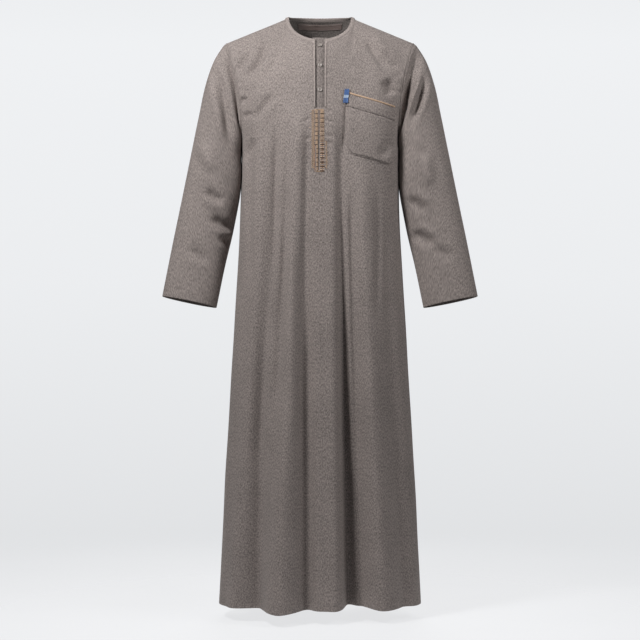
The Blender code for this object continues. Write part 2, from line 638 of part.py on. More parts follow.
def main():
    clear_scene()
    front = front_panel()
    back = back_panel()
    for hand in (1, -1):
        sleeve(hand)
    neck_binding(front, back)
    placket(front)
    for number, height in enumerate(BUTTON_HEIGHTS, start=1):
        button(number, height, front)
    pocket(front)
    label(front)
    neck_tape(back)


main()
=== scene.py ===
"""The looks of a long-sleeved thobe robe in heathered taupe chambray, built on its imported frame.

Metres, +Z up. The wearer faces -Y, so +X is the wearer's left. The origin is the middle of the neck opening,
level with the neck points of the shoulder seams.

A body panel is a sheet over "across", from -1 at one side seam to +1 at the other, and "height", which is Z
before the folds hang. Every other piece is laid on a panel through the same two coordinates.
"""

import logging
import math
from dataclasses import dataclass
from enum import Enum
from typing import NamedTuple, Sequence

import bmesh
import bpy
import numpy as np
from mathutils import Matrix, Vector


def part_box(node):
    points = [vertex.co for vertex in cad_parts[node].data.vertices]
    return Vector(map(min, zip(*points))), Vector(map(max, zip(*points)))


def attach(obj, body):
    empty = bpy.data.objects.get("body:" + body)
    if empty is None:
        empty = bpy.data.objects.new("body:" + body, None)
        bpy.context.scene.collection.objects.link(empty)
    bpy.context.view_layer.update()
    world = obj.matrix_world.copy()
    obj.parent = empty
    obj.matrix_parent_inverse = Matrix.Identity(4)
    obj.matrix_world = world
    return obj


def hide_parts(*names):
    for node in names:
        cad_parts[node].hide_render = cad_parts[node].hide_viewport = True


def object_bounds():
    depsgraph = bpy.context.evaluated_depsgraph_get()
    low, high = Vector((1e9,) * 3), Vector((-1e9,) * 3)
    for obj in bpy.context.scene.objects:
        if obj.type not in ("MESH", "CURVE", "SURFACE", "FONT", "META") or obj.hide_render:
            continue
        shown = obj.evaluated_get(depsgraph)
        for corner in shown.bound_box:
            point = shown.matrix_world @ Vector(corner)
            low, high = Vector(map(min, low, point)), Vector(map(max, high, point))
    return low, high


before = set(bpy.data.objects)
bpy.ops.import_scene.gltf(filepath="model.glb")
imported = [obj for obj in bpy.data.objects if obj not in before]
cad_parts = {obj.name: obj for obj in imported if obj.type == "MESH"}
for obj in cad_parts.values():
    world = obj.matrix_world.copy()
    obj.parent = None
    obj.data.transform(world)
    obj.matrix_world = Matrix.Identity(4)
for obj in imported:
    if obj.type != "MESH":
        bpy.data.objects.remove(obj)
CAD_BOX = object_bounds()
LOG = logging.getLogger("thobe")
Array = np.ndarray
Object = bpy.types.Object
Socket = bpy.types.NodeSocket
QUARTER = math.pi / 2
FORM_TOLERANCE = 0.004
CREASE_TAPER = 0.35
CREASE_LIP = 0.35
CREASE_LIP_PLACE = 1.9
RIPPLE_RISE = 0.0005
STITCH_INSET = 0.002


class Side(Enum):
    """A body panel's side, as the sign of Y that it faces."""

    FRONT = -1
    BACK = 1


class Hand(Enum):
    """The wearer's hand that a sleeve belongs to, as the sign of its X."""

    LEFT = 1
    RIGHT = -1


class Section(NamedTuple):
    """One level of the body: half a rounded ring in front and half behind."""

    height: float
    half_width: float
    front_depth: float
    back_depth: float
    squareness: float


class Slope(NamedTuple):
    """How steeply the cloth falls away from the top edge at an X."""

    x: float
    steepness: float


class Fan(NamedTuple):
    """How far, in degrees, a line of each panel has swung round the body at the hem."""

    across: float
    front: float
    back: float


class Fold(NamedTuple):
    """A long fold down one line of a panel. Grow is how much wider it is at the hem."""

    across: float
    top: float
    bottom: float
    rise_top: float
    rise_bottom: float
    left: float
    right: float
    grow: float


class Crease(NamedTuple):
    """A soft trough, or a ridge where rise is positive, between two places seen from the front.

    It fades towards both ends, so one that is full at the hem is drawn on past it.
    """

    x0: float
    z0: float
    x1: float
    z1: float
    rise: float
    width: float
    bow: float = 0.0


class SleeveSection(NamedTuple):
    """One level of a sleeve: the two ends of its width, its half depth, how far forward it hangs, and how
    far its inner side reaches round the body.
    """

    outer_x: float
    outer_z: float
    inner_x: float
    inner_z: float
    half_depth: float
    forward: float
    hug: float


def smooth_step(value: Array) -> Array:
    """An even S curve from 0 to 1."""
    value = np.clip(value, 0.0, 1.0)
    return value * value * (3.0 - 2.0 * value)


def smooth_table(at: Array, places: Sequence[float], values: Sequence[float]) -> Array:
    """Reads a smooth curve through a short table.

    Args:
        at: where to read the curve.
        places: the table's places, in rising order.
        values: the table's value at each place.

    Returns:
        The curve's value at each place asked for.
    """
    places, values = np.asarray(places, float), np.asarray(values, float)
    slopes = np.gradient(values, places)
    at = np.clip(at, places[0], places[-1])
    k = np.clip(np.searchsorted(places, at) - 1, 0, len(places) - 2)
    step = places[k + 1] - places[k]
    s = (at - places[k]) / step
    ends = (1 + 2 * s) * (1 - s) ** 2 * values[k] + s * s * (3 - 2 * s) * values[k + 1]
    return ends + step * (s * (1 - s) ** 2 * slopes[k] - s * s * (1 - s) * slopes[k + 1])


def crease_rise(creases: Sequence[Crease], x: Array, z: Array) -> Array:
    """How far the short creases stand out, with a low ridge pushed up beside each trough.

    Args:
        creases: the creases of one face of the cloth.
        x: X of each place on the cloth.
        z: Z of each place on the cloth.

    Returns:
        The rise at each place.
    """
    total = np.zeros_like(x)
    for crease in creases:
        run_x, run_z = crease.x1 - crease.x0, crease.z1 - crease.z0
        length = math.hypot(run_x, run_z)
        along = ((x - crease.x0) * run_x + (z - crease.z0) * run_z) / length**2
        away = ((z - crease.z0) * run_x - (x - crease.x0) * run_z) / length
        middle = np.clip(along, 0, 1)
        away = (away - 4 * crease.bow * middle * (1 - middle)) / crease.width
        taper = smooth_step(along / CREASE_TAPER) * smooth_step((1 - along) / CREASE_TAPER)
        lip = CREASE_LIP * np.exp(-((away - CREASE_LIP_PLACE) ** 2))
        total += crease.rise * taper * (np.exp(-(away**2)) - lip)
    return total


def ripple(x: Array, z: Array, phase: float) -> Array:
    """The slight unevenness of cloth that has been worn, as a few long waves."""
    waves = np.sin(41 * x + 17 * z + phase) + 0.7 * np.sin(23 * x - 31 * z + 2.1 * phase)
    return RIPPLE_RISE * (waves + 0.5 * np.sin(73 * x + 9 * z + 3.7 * phase))


@dataclass(frozen=True)
class RobeForm:
    """The robe's plain form, which all its pieces share."""

    neck_half_width: float = 0.083
    neck_front_drop: float = 0.07
    neck_front_reach: float = 0.08
    neck_back_drop: float = -0.003
    neck_back_reach: float = 0.07
    shoulder_half_width: float = 0.229
    shoulder_drop: float = 0.06
    underarm: float = -0.318
    hem: float = -1.417
    armhole_half_depth: float = 0.062
    armhole_inset: float = 0.042
    seam_gap: float = 0.0004
    slot_half_width: float = 0.0115
    slot_share: float = (1 - math.cos(0.4 * math.pi)) / 2
    across_neck: float = 0.3
    fan_power: float = 1.2
    hem_hang: float = 0.08
    hang_height: float = 0.35
    top_lean: float = 0.62
    top_power: float = 1.5
    sections: tuple[Section, ...] = (
        Section(-1.417, 0.245, 0.134, 0.172, 2.2),
        Section(-1.025, 0.2245, 0.132, 0.152, 2.3),
        Section(-0.734, 0.207, 0.132, 0.138, 2.4),
        Section(-0.455, 0.192, 0.134, 0.127, 2.55),
        Section(-0.318, 0.19, 0.135, 0.124, 2.6),
    )
    slopes: tuple[Slope, ...] = (Slope(0, 0.65), Slope(0.083, 0.8), Slope(0.14, 0.56), Slope(0.229, 0.48))
    fans: tuple[Fan, ...] = (
        Fan(-1.0, 0.0, 0.0),
        Fan(-0.48, -13.0, -6.0),
        Fan(-0.2, -7.0, -4.0),
        Fan(-0.09, 0.5, -1.0),
        Fan(0.1, 2.0, 2.0),
        Fan(0.34, 6.0, 4.0),
        Fan(0.6, 6.0, 5.0),
        Fan(1.0, 0.0, 0.0),
    )

    @property
    def chest_half_width(self) -> float:
        """Half the body's width at the underarm."""
        return self.sections[-1].half_width

    @property
    def shoulder_slope(self) -> float:
        """How far the shoulder seam drops for each metre it runs out."""
        return self.shoulder_drop / (self.shoulder_half_width - self.neck_half_width)

    def across_of(self, x: float) -> float:
        """The across coordinate of the line that passes the underarm's level at this X."""
        return math.asin(x / self.chest_half_width) / QUARTER

    def size(self, height: Array, column: str) -> Array:
        """A size of the body's ring at a height."""
        heights = [section.height for section in self.sections]
        return smooth_table(height, heights, [getattr(section, column) for section in self.sections])

    def neck_share(self, x: Array) -> Array:
        """How far round the neck's oval an X is: 1 in the middle, 0 at the neck points and past them."""
        return np.sqrt(np.clip(1 - (x / self.neck_half_width) ** 2, 0, 1))

    def top_x(self, across: Array) -> Array:
        """X where a line ends at the top: beside the slot, then round the neck, then along the shoulder.

        Args:
            across: across coordinate of each line.

        Returns:
            X of each line at the top edge.
        """
        size = np.abs(across)
        slot = self.across_of(self.slot_half_width)
        straight = self.chest_half_width * np.sin(size * QUARTER)
        share = np.clip((size - slot) / (self.across_neck - slot), 0, 1)
        neck = self.slot_half_width + (self.neck_half_width - self.slot_half_width) * np.sin(share * QUARTER)
        along = np.clip((size - self.across_neck) / (1 - self.across_neck), 0, 1)
        shoulder = self.neck_half_width + (self.shoulder_half_width - self.neck_half_width) * along
        beyond_slot = np.where(size < self.across_neck, neck, shoulder)
        return np.sign(across) * np.where(size < slot, straight, beyond_slot)

    def top_z(self, across: Array, side: Side) -> Array:
        """Height of the panel's top edge, at the neckline and along the shoulder seam.

        Args:
            across: across coordinate of each line.
            side: the front or the back.

        Returns:
            The height at each line.
        """
        x = np.abs(self.top_x(across))
        drop = self.neck_front_drop if side is Side.FRONT else self.neck_back_drop
        return -drop * self.neck_share(x) - self.shoulder_slope * np.clip(x - self.neck_half_width, 0, None)

    def plain(self, across: Array, height: Array, side: Side) -> Array:
        """The body's surface before its folds.

        Args:
            across: across coordinate of each point.
            height: height of each point. Above the top edge the surface leans on inwards.
            side: the front or the back.

        Returns:
            The points, with X, Y and Z on the last axis.
        """
        across, height = np.broadcast_arrays(np.asarray(across, float), np.asarray(height, float))
        front = side is Side.FRONT
        low = np.minimum(height, self.underarm)
        half_width, squareness = self.size(low, "half_width"), self.size(low, "squareness")
        depth = self.size(low, "front_depth" if front else "back_depth")
        swings = [fan.front if front else fan.back for fan in self.fans]
        swing = smooth_table(across, [fan.across for fan in self.fans], swings)
        run = np.clip((self.underarm - height) / (self.underarm - self.hem), 0, 1)
        bearing = across * QUARTER + np.radians(swing) * run**self.fan_power
        ring_x = half_width * np.sin(bearing)
        end_x, end_z = self.top_x(across), self.top_z(across, side)
        end_y = (self.neck_front_reach if front else self.neck_back_reach) * self.neck_share(end_x)
        q = np.clip((height - self.underarm) / (end_z - self.underarm), 0, 1)
        steepnesses = [slope.steepness for slope in self.slopes]
        steepness = smooth_table(np.abs(end_x), [slope.x for slope in self.slopes], steepnesses)
        outermost = np.maximum(1 - q**2, 1e-9) ** self.slopes[-1].steepness
        armhole = 2 * self.armhole_half_depth * np.sqrt(q * (1 - q)) / (depth * outermost)
        rounding = np.abs(np.sin(bearing)) ** squareness * (1 - armhole**squareness)
        ring_y = depth * np.clip(1 - rounding, 0, None) ** (1 / squareness)
        x = (ring_x + (end_x - ring_x) * q**self.top_power) * (1 - self.armhole_inset * 4 * q * (1 - q))
        over = np.clip(height - end_z, 0, None)
        below = end_y + (ring_y - end_y) * (1 - q**2) ** steepness
        y = np.where(over > 0, end_y - self.top_lean * over, below)
        return np.stack([x, side.value * (y + self.seam_gap / 2), height], axis=-1)


ROBE = RobeForm()
FRONT_FOLDS = (
    Fold(-0.478, -0.3, ROBE.hem, 0.005, 0.01, 0.03, 0.034, 1.25),
    Fold(-0.388, -0.24, -1.14, -0.008, -0.009, 0.016, 0.013, 1.2),
    Fold(-0.32, -0.62, ROBE.hem, -0.003, -0.011, 0.03, 0.014, 1.5),
    Fold(-0.262, -0.46, -1.02, -0.005, -0.006, 0.008, 0.008, 1.1),
    Fold(-0.176, -0.2, ROBE.hem, 0.009, 0.05, 0.015, 0.022, 1.5),
    Fold(-0.088, -0.22, ROBE.hem, -0.006, -0.02, 0.016, 0.012, 1.25),
    Fold(0.068, -0.36, ROBE.hem, 0.003, 0.011, 0.028, 0.02, 1.1),
    Fold(0.174, -0.2, ROBE.hem, -0.009, -0.058, 0.012, 0.016, 1.5),
    Fold(0.21, -0.36, -1.14, 0.006, 0.008, 0.008, 0.008, 1.1),
    Fold(0.25, -0.36, ROBE.hem, -0.009, -0.032, 0.01, 0.013, 1.25),
    Fold(0.34, -0.3, ROBE.hem, 0.006, 0.018, 0.02, 0.03, 1.4),
    Fold(0.578, -0.42, ROBE.hem, -0.004, -0.01, 0.026, 0.03, 1.2),
)
BACK_FOLDS = (
    Fold(-0.522, -0.26, ROBE.hem, -0.006, -0.026, 0.024, 0.03, 1.4),
    Fold(-0.344, -0.2, ROBE.hem, 0.008, 0.032, 0.024, 0.024, 1.5),
    Fold(-0.167, -0.18, ROBE.hem, -0.008, -0.034, 0.02, 0.018, 1.5),
    Fold(-0.022, -0.24, ROBE.hem, 0.006, 0.026, 0.028, 0.024, 1.4),
    Fold(0.122, -0.2, ROBE.hem, -0.006, -0.028, 0.016, 0.024, 1.5),
    Fold(0.3, -0.22, ROBE.hem, 0.009, 0.034, 0.026, 0.026, 1.4),
    Fold(0.489, -0.26, ROBE.hem, -0.006, -0.03, 0.02, 0.03, 1.5),
)
FRONT_CREASES = (
    Crease(-0.122, -0.05, -0.178, -0.166, -0.011, 0.011, 0.004),
    Crease(-0.173, -0.092, -0.198, -0.14, -0.0059, 0.009),
    Crease(-0.108, -0.192, -0.16, -0.266, -0.009, 0.011, -0.003),
    Crease(-0.2, -0.206, -0.17, -0.208, -0.0043, 0.006),
    Crease(-0.188, -0.246, -0.158, -0.241, -0.0043, 0.006),
    Crease(-0.148, -0.3, -0.186, -0.348, -0.0059, 0.011),
    Crease(0.108, -0.046, 0.176, -0.146, -0.011, 0.011, -0.005),
    Crease(0.15, -0.086, 0.19, -0.136, -0.0059, 0.009),
    Crease(0.156, -0.156, 0.174, -0.2, -0.0102, 0.013),
    Crease(0.062, -0.2, 0.057, -0.35, -0.006, 0.0048),
    Crease(0.168, -0.3, 0.14, -0.352, -0.0051, 0.011),
    Crease(-0.066, -0.108, -0.098, -0.168, 0.0037, 0.014, 0.003),
    Crease(0.064, -0.104, 0.096, -0.17, 0.0037, 0.014, -0.003),
    Crease(-0.104, -0.2, -0.113, -0.74, -0.0052, 0.008),
    Crease(-0.032, -0.23, -0.042, -0.8, -0.005, 0.007),
    Crease(0.06, -0.56, 0.084, -1.85, -0.011, 0.021),
    Crease(-0.041, -0.42, -0.033, -1.85, -0.016, 0.015),
    Crease(-0.092, -0.76, -0.086, -1.9, 0.008, 0.017),
    Crease(-0.14, -0.56, -0.158, -1.9, -0.0085, 0.013),
    Crease(-0.106, -0.7, -0.122, -1.9, 0.0055, 0.01),
    Crease(-0.066, -0.22, -0.07, -0.9, 0.0044, 0.0085),
    Crease(-0.138, -0.22, -0.152, -0.64, 0.004, 0.01),
    Crease(-0.166, -0.28, -0.17, -0.62, -0.004, 0.008),
    Crease(0.137, -0.4, 0.133, -0.76, -0.0042, 0.008),
    Crease(-0.021, -0.256, -0.04, -0.266, -0.0026, 0.0036),
    Crease(-0.021, -0.3, -0.036, -0.309, -0.0024, 0.0034),
    Crease(-0.02, -0.328, -0.038, -0.334, -0.003, 0.0038),
    Crease(-0.02, -0.352, -0.032, -0.361, -0.0022, 0.0034),
    Crease(0.013, -0.236, 0.03, -0.243, -0.0026, 0.0036),
    Crease(0.013, -0.257, 0.028, -0.268, -0.0024, 0.0036),
    Crease(0.014, -0.294, 0.034, -0.302, -0.0024, 0.0034),
    Crease(0.014, -0.31, 0.03, -0.321, -0.0026, 0.0036),
    Crease(0.016, -0.346, 0.032, -0.356, -0.002, 0.0034),
)
BACK_CREASES = (
    Crease(-0.11, -0.052, -0.168, -0.158, -0.008, 0.013, 0.004),
    Crease(0.118, -0.058, 0.162, -0.148, -0.008, 0.012, -0.004),
    Crease(0.156, -0.094, 0.19, -0.15, -0.0056, 0.009),
    Crease(-0.196, -0.214, -0.15, -0.232, -0.0048, 0.008, 0.003),
    Crease(0.198, -0.236, 0.14, -0.262, -0.0056, 0.009, -0.003),
    Crease(-0.06, -0.06, 0.044, -0.074, -0.0048, 0.012, -0.006),
    Crease(-0.17, -0.3, -0.12, -0.372, -0.0056, 0.012),
    Crease(0.176, -0.322, 0.132, -0.4, -0.0048, 0.012),
)


@dataclass(frozen=True)
class PanelForm:
    """A body panel's outer face with its long folds, its short creases and its seams drawn in."""

    side: Side
    folds: tuple[Fold, ...]
    creases: tuple[Crease, ...]
    seam_depth: float = 0.0027
    seam_width: float = 0.0048
    step: float = 1e-4
    fold_lead: float = 0.14
    fold_run_out: float = 0.16
    fold_power: float = 1.2
    folds_end: tuple[float, float] = (0.86, 0.12)
    creases_end: tuple[float, float] = (0.93, 0.07)
    creases_below_top: float = 0.03
    shoulder_seam_lead: float = 0.02

    def fold_rise(self, across: Array, height: Array) -> Array:
        """How far the long folds stand out of the plain form.

        Args:
            across: across coordinate of each point.
            height: height of each point.

        Returns:
            The rise at each point.
        """
        radius = ROBE.size(np.minimum(height, ROBE.underarm), "half_width")
        total = np.zeros_like(height)
        for fold in self.folds:
            run = np.clip((fold.top - height) / (fold.top - fold.bottom), 0, 1)
            away = radius * (across - fold.across) * QUARTER
            width = np.where(away < 0, fold.left, fold.right) * (1 + (fold.grow - 1) * run)
            start = smooth_step((fold.top - height) / self.fold_lead)
            end = 1.0 if fold.bottom <= ROBE.hem else smooth_step((height - fold.bottom) / self.fold_run_out)
            rise = fold.rise_top + (fold.rise_bottom - fold.rise_top) * run**self.fold_power
            total += rise * start * end * np.exp(-((away / width) ** 2))
        start, fade = self.folds_end
        return total * (1 - smooth_step((np.abs(across) - start) / fade))

    def fine_rise(self, across: Array, height: Array, x: Array) -> Array:
        """How far creases, unevenness and the pull of the seams move the face.

        Args:
            across: across coordinate of each point.
            height: height of each point.
            x: X of each point.

        Returns:
            The rise at each point, negative where the face goes in.
        """
        start, fade = self.creases_end
        inside = 1 - smooth_step((np.abs(across) - start) / fade)
        below_top = ROBE.top_z(across, self.side) - height
        inside = inside * smooth_step(below_top / self.creases_below_top)
        from_side = (1 - np.abs(across)) * ROBE.chest_half_width * QUARTER
        seam = np.exp(-((from_side / self.seam_width) ** 2))
        on_shoulder = smooth_step((np.abs(across) - ROBE.across_neck) / self.shoulder_seam_lead)
        seam = np.maximum(seam, on_shoulder * np.exp(-((below_top / self.seam_width) ** 2)))
        uneven = crease_rise(self.creases, x, height) + ripple(x, height, float(self.side.value))
        return uneven * inside - self.seam_depth * seam

    def normal(self, across: Array, height: Array) -> Array:
        """Unit normals of the plain form, facing out.

        Args:
            across: across coordinate of each point.
            height: height of each point.

        Returns:
            The normal at each point.
        """
        inner = np.clip(across, self.step - 1, 1 - self.step)
        left = ROBE.plain(inner - self.step, height, self.side)
        right = ROBE.plain(inner + self.step, height, self.side)
        low = ROBE.plain(inner, height - 2 * self.step, self.side)
        high = ROBE.plain(inner, height, self.side)
        normal = np.cross(right - left, high - low) * -self.side.value
        return normal / np.linalg.norm(normal, axis=-1, keepdims=True)

    def surface(self, across: Array, height: Array, out: Array | float = 0.0) -> Array:
        """Points on the finished outer face.

        Args:
            across: across coordinate of each point.
            height: height of each point.
            out: how far each point stands out of the face.

        Returns:
            The points, with X, Y and Z on the last axis.
        """
        across, height = np.broadcast_arrays(np.asarray(across, float), np.asarray(height, float))
        plain = ROBE.plain(across, height, self.side)
        folds = self.fold_rise(across, height)
        rise = folds + self.fine_rise(across, height, plain[..., 0]) + out
        point = plain + self.normal(across, height) * rise[..., None]
        low = smooth_step((ROBE.hem + ROBE.hang_height - height) / ROBE.hang_height)
        point[..., 2] -= ROBE.hem_hang * folds * low
        return point

    def place(self, x: float, height: float, out: float = 0.0) -> Matrix:
        """A place on the face for a small thing, with its X along the cloth, its Y up it and its Z out of it.

        Args:
            x: X at the underarm's level of the line that the place is on.
            height: height of the place.
            out: how far it stands out of the face.

        Returns:
            The place as a matrix.
        """
        across, step = ROBE.across_of(x), 0.002
        levels = np.array([height, height, height + step])
        middle, side, above = self.surface(np.array([across, across + step, across]), levels, out)
        right = Vector(side - middle).normalized()
        normal = right.cross(Vector(above - middle)).normalized()
        basis = Matrix((right, normal.cross(right), normal)).transposed().to_4x4()
        return Matrix.Translation(Vector(middle)) @ basis


FRONT = PanelForm(Side.FRONT, FRONT_FOLDS, FRONT_CREASES)
BACK = PanelForm(Side.BACK, BACK_FOLDS, BACK_CREASES)


class NodeBench:
    """A material's node tree, with short ways to add and join nodes."""

    def __init__(self, name: str) -> None:
        """Starts a material with a Principled shader.

        Args:
            name: the material's name.
        """
        self.material = bpy.data.materials.new(name)
        self.material.use_nodes = True
        self.tree = self.material.node_tree
        self.shader = self.tree.nodes["Principled BSDF"]

    def set(self, node: bpy.types.Node, socket: str | int, value: object) -> None:
        """Joins a socket to another node's output, or gives it a value of its own.

        Args:
            node: the node that has the socket.
            socket: its name or number.
            value: an output, or a value.
        """
        if isinstance(value, Socket):
            self.tree.links.new(value, node.inputs[socket])
        else:
            node.inputs[socket].default_value = value

    def add(
        self, kind: str, inputs: dict[str | int, object] | None = None, **settings: object
    ) -> bpy.types.Node:
        """Adds a node.

        Args:
            kind: the node's type, without its ShaderNode prefix.
            inputs: a value or another node's output for each named socket.
            settings: the node's own settings.

        Returns:
            The node.
        """
        node = self.tree.nodes.new("ShaderNode" + kind)
        for name, value in settings.items():
            setattr(node, name, value)
        for socket, value in (inputs or {}).items():
            self.set(node, socket, value)
        return node

    def math(self, operation: str, *values: object) -> Socket:
        """The result of a sum on sockets and numbers."""
        return self.add("Math", dict(enumerate(values)), operation=operation).outputs[0]

    def noise(
        self, vector: Socket, scale: Sequence[float], detail: float = 2.0, offset: float = 0.0
    ) -> Socket:
        """Noise stretched by its own scale on each axis.

        Args:
            vector: the coordinates to read, in metres.
            scale: how many bumps a metre holds along X, Y and Z.
            detail: how many finer layers are added.
            offset: a shift that makes the noise its own.

        Returns:
            The noise, from 0 to 1.
        """
        place = {"Vector": vector, "Scale": tuple(scale), "Location": (offset, offset, offset)}
        mapped = self.add("Mapping", place).outputs[0]
        return self.add("TexNoise", {"Vector": mapped, "Scale": 1.0, "Detail": detail}).outputs[0]

    def blend(self, share: object, first: object, second: object) -> Socket:
        """Two colours mixed by a share.

        Args:
            share: how much of the second colour there is.
            first: the first colour.
            second: the second colour.

        Returns:
            The mixed colour.
        """
        node = self.add("Mix", data_type="RGBA", blend_type="MIX")
        for socket, value in ((0, share), (6, first), (7, second)):
            self.set(node, socket, value)
        return node.outputs[2]

    def ramp(self, value: Socket, colour: Sequence[float], *tones: tuple[float, float]) -> Socket:
        """A ramp through lighter and darker tones of one colour.

        Args:
            value: what the ramp reads.
            colour: the colour.
            tones: places on the ramp, in rising order, and how light the colour is there.

        Returns:
            The tone.
        """
        node = self.add("ValToRGB", {0: value})
        elements = node.color_ramp.elements
        for element, (place, tone) in zip([elements[0], elements[1]], (tones[0], tones[-1])):
            element.position, element.color = place, shade(colour, tone)
        for place, tone in tones[1:-1]:
            elements.new(place).color = shade(colour, tone)
        return node.outputs[0]

    def bump(self, height: Socket, distance: float, strength: float = 1.0) -> Socket:
        """A bumped normal."""
        return self.add("Bump", {"Height": height, "Distance": distance, "Strength": strength}).outputs[0]

    def finish(self, **sockets: object) -> bpy.types.Material:
        """Fills the shader's sockets, named with _ for each space, and gives the material.

        Args:
            sockets: a value or an output for each socket.

        Returns:
            The material.
        """
        for name, value in sockets.items():
            self.set(self.shader, name.replace("_", " "), value)
        return self.material


def shade(colour: Sequence[float], factor: float) -> tuple[float, float, float, float]:
    """A colour made lighter or darker, with full alpha."""
    return (*(channel * factor for channel in colour[:3]), 1.0)


@dataclass(frozen=True)
class Chambray:
    """A plain-woven melange: warp and weft of mixed dark and light fibres, with slubs along the warp."""

    name: str
    colour: tuple[float, float, float]
    contrast: float = 0.92
    warp_width: float = 0.001
    warp_length: float = 0.0056
    weft_length: float = 0.0044
    speck_width: float = 0.0028
    speck_length: float = 0.0046
    mottle: float = 0.06
    speck_share: float = 0.85
    warp_share: float = 0.5
    weft_share: float = 0.3
    mottle_share: float = 0.15
    level: float = -0.4
    bump: float = 0.00035

    def build(self) -> bpy.types.Material:
        """Makes the material on the cloth's own UV map, which is in metres.

        Returns:
            The material.
        """
        bench = NodeBench(self.name)
        cloth = bench.add("UVMap", uv_map="cloth").outputs[0]
        warp = bench.noise(cloth, (1 / self.warp_width, 1 / self.warp_length, 1), 1.0)
        weft = bench.noise(cloth, (1 / self.weft_length, 1 / self.warp_width, 1), 1.0, 7.3)
        specks = bench.noise(cloth, (1 / self.speck_width, 1 / self.speck_length, 1), 1.0, 3.1)
        mottle = bench.noise(cloth, (1 / self.mottle, 0.6 / self.mottle, 1), 2.0, 11.7)
        value = bench.math("MULTIPLY_ADD", specks, self.speck_share, self.level)
        layers = ((warp, self.warp_share), (weft, self.weft_share), (mottle, self.mottle_share))
        for layer, share in layers:
            value = bench.math("MULTIPLY_ADD", layer, share, value)
        spread = 0.62 * self.contrast
        tones = (
            (0.2, 1 - spread),
            (0.42, 1 - 0.22 * self.contrast),
            (0.58, 1 + 0.2 * self.contrast),
            (0.8, 1 + 0.85 * spread),
        )
        colour = bench.ramp(value, self.colour, *tones)
        threads = bench.math("ADD", warp, weft)
        roughness = bench.math("MULTIPLY_ADD", specks, 0.16, 0.76)
        return bench.finish(
            Base_Color=colour,
            Roughness=roughness,
            Normal=bench.bump(threads, self.bump, 0.6),
            Specular_IOR_Level=0.25,
            Sheen_Weight=0.12,
            Sheen_Roughness=0.5,
            Sheen_Tint=(1.0, 0.94, 0.9, 1.0),
        )


@dataclass(frozen=True)
class Thread:
    """Twisted sewing or embroidery thread, with a soft lustre and uneven dye."""

    name: str
    colour: tuple[float, float, float]
    sheen: float = 0.1
    roughness: float = 0.48

    def build(self) -> bpy.types.Material:
        """Makes the material on object coordinates, so that each stitch differs from the next.

        Returns:
            The material.
        """
        bench = NodeBench(self.name)
        place = bench.add("TexCoord").outputs["Object"]
        dye = bench.noise(place, (260, 260, 420), 2.0, 2.0)
        twist = bench.noise(place, (2600, 2600, 2600), 1.0, 5.0)
        return bench.finish(
            Base_Color=bench.ramp(dye, self.colour, (0.3, 0.66), (0.5, 1.0), (0.7, 1.3)),
            Roughness=bench.math("MULTIPLY_ADD", twist, 0.2, self.roughness - 0.1),
            Normal=bench.bump(twist, 0.0002, 0.6),
            Sheen_Weight=self.sheen,
            Specular_IOR_Level=0.4,
        )


@dataclass(frozen=True)
class Resin:
    """Pale horn-like button resin, clouded inside and polished outside."""

    name: str = "button_resin"
    colour: tuple[float, float, float] = (0.27, 0.24, 0.22)

    def build(self) -> bpy.types.Material:
        """Makes the material on object coordinates.

        Returns:
            The material.
        """
        bench = NodeBench(self.name)
        place = bench.add("TexCoord").outputs["Object"]
        cloud = bench.noise(place, (420, 420, 260), 3.0, 1.0)
        scratch = bench.noise(place, (2400, 500, 2400), 2.0, 4.0)
        return bench.finish(
            Base_Color=bench.ramp(cloud, self.colour, (0.3, 0.72), (0.52, 1.0), (0.72, 1.25)),
            Roughness=bench.math("MULTIPLY_ADD", scratch, 0.18, 0.20),
            Normal=bench.bump(scratch, 0.00005, 0.4),
            Coat_Weight=0.3,
            Coat_Roughness=0.15,
        )


@dataclass(frozen=True)
class WovenTape:
    """A narrow woven tape: ribs across it, and a paler band where its UV says so."""

    name: str
    colour: tuple[float, float, float]
    band: tuple[float, float, float]
    band_from: float
    band_to: float
    rib: float = 0.0009
    fibre_width: float = 0.0007
    fibre_length: float = 0.0022

    def build(self) -> bpy.types.Material:
        """Makes the material on the tape's own UV map, in metres from its lower edge.

        Returns:
            The material.
        """
        bench = NodeBench(self.name)
        cloth = bench.add("UVMap", uv_map="cloth").outputs[0]
        along = bench.add("SeparateXYZ", {0: cloth}).outputs[1]
        above = bench.math("GREATER_THAN", along, self.band_from)
        inside = bench.math("MULTIPLY", above, bench.math("LESS_THAN", along, self.band_to))
        fibre = bench.noise(cloth, (1 / self.fibre_width, 1 / self.fibre_length, 1), 2.0)
        rib = bench.math("SINE", bench.math("MULTIPLY", along, 2 * math.pi / self.rib))
        plain = bench.ramp(fibre, self.colour, (0.3, 0.6), (0.7, 1.45))
        pale = bench.ramp(fibre, self.band, (0.3, 0.75), (0.7, 1.2))
        height = bench.math("MULTIPLY_ADD", rib, 0.4, fibre)
        return bench.finish(
            Base_Color=bench.blend(inside, plain, pale),
            Roughness=bench.math("MULTIPLY_ADD", fibre, 0.2, 0.5),
            Normal=bench.bump(height, 0.0002, 0.7),
            Sheen_Weight=0.1,
        )


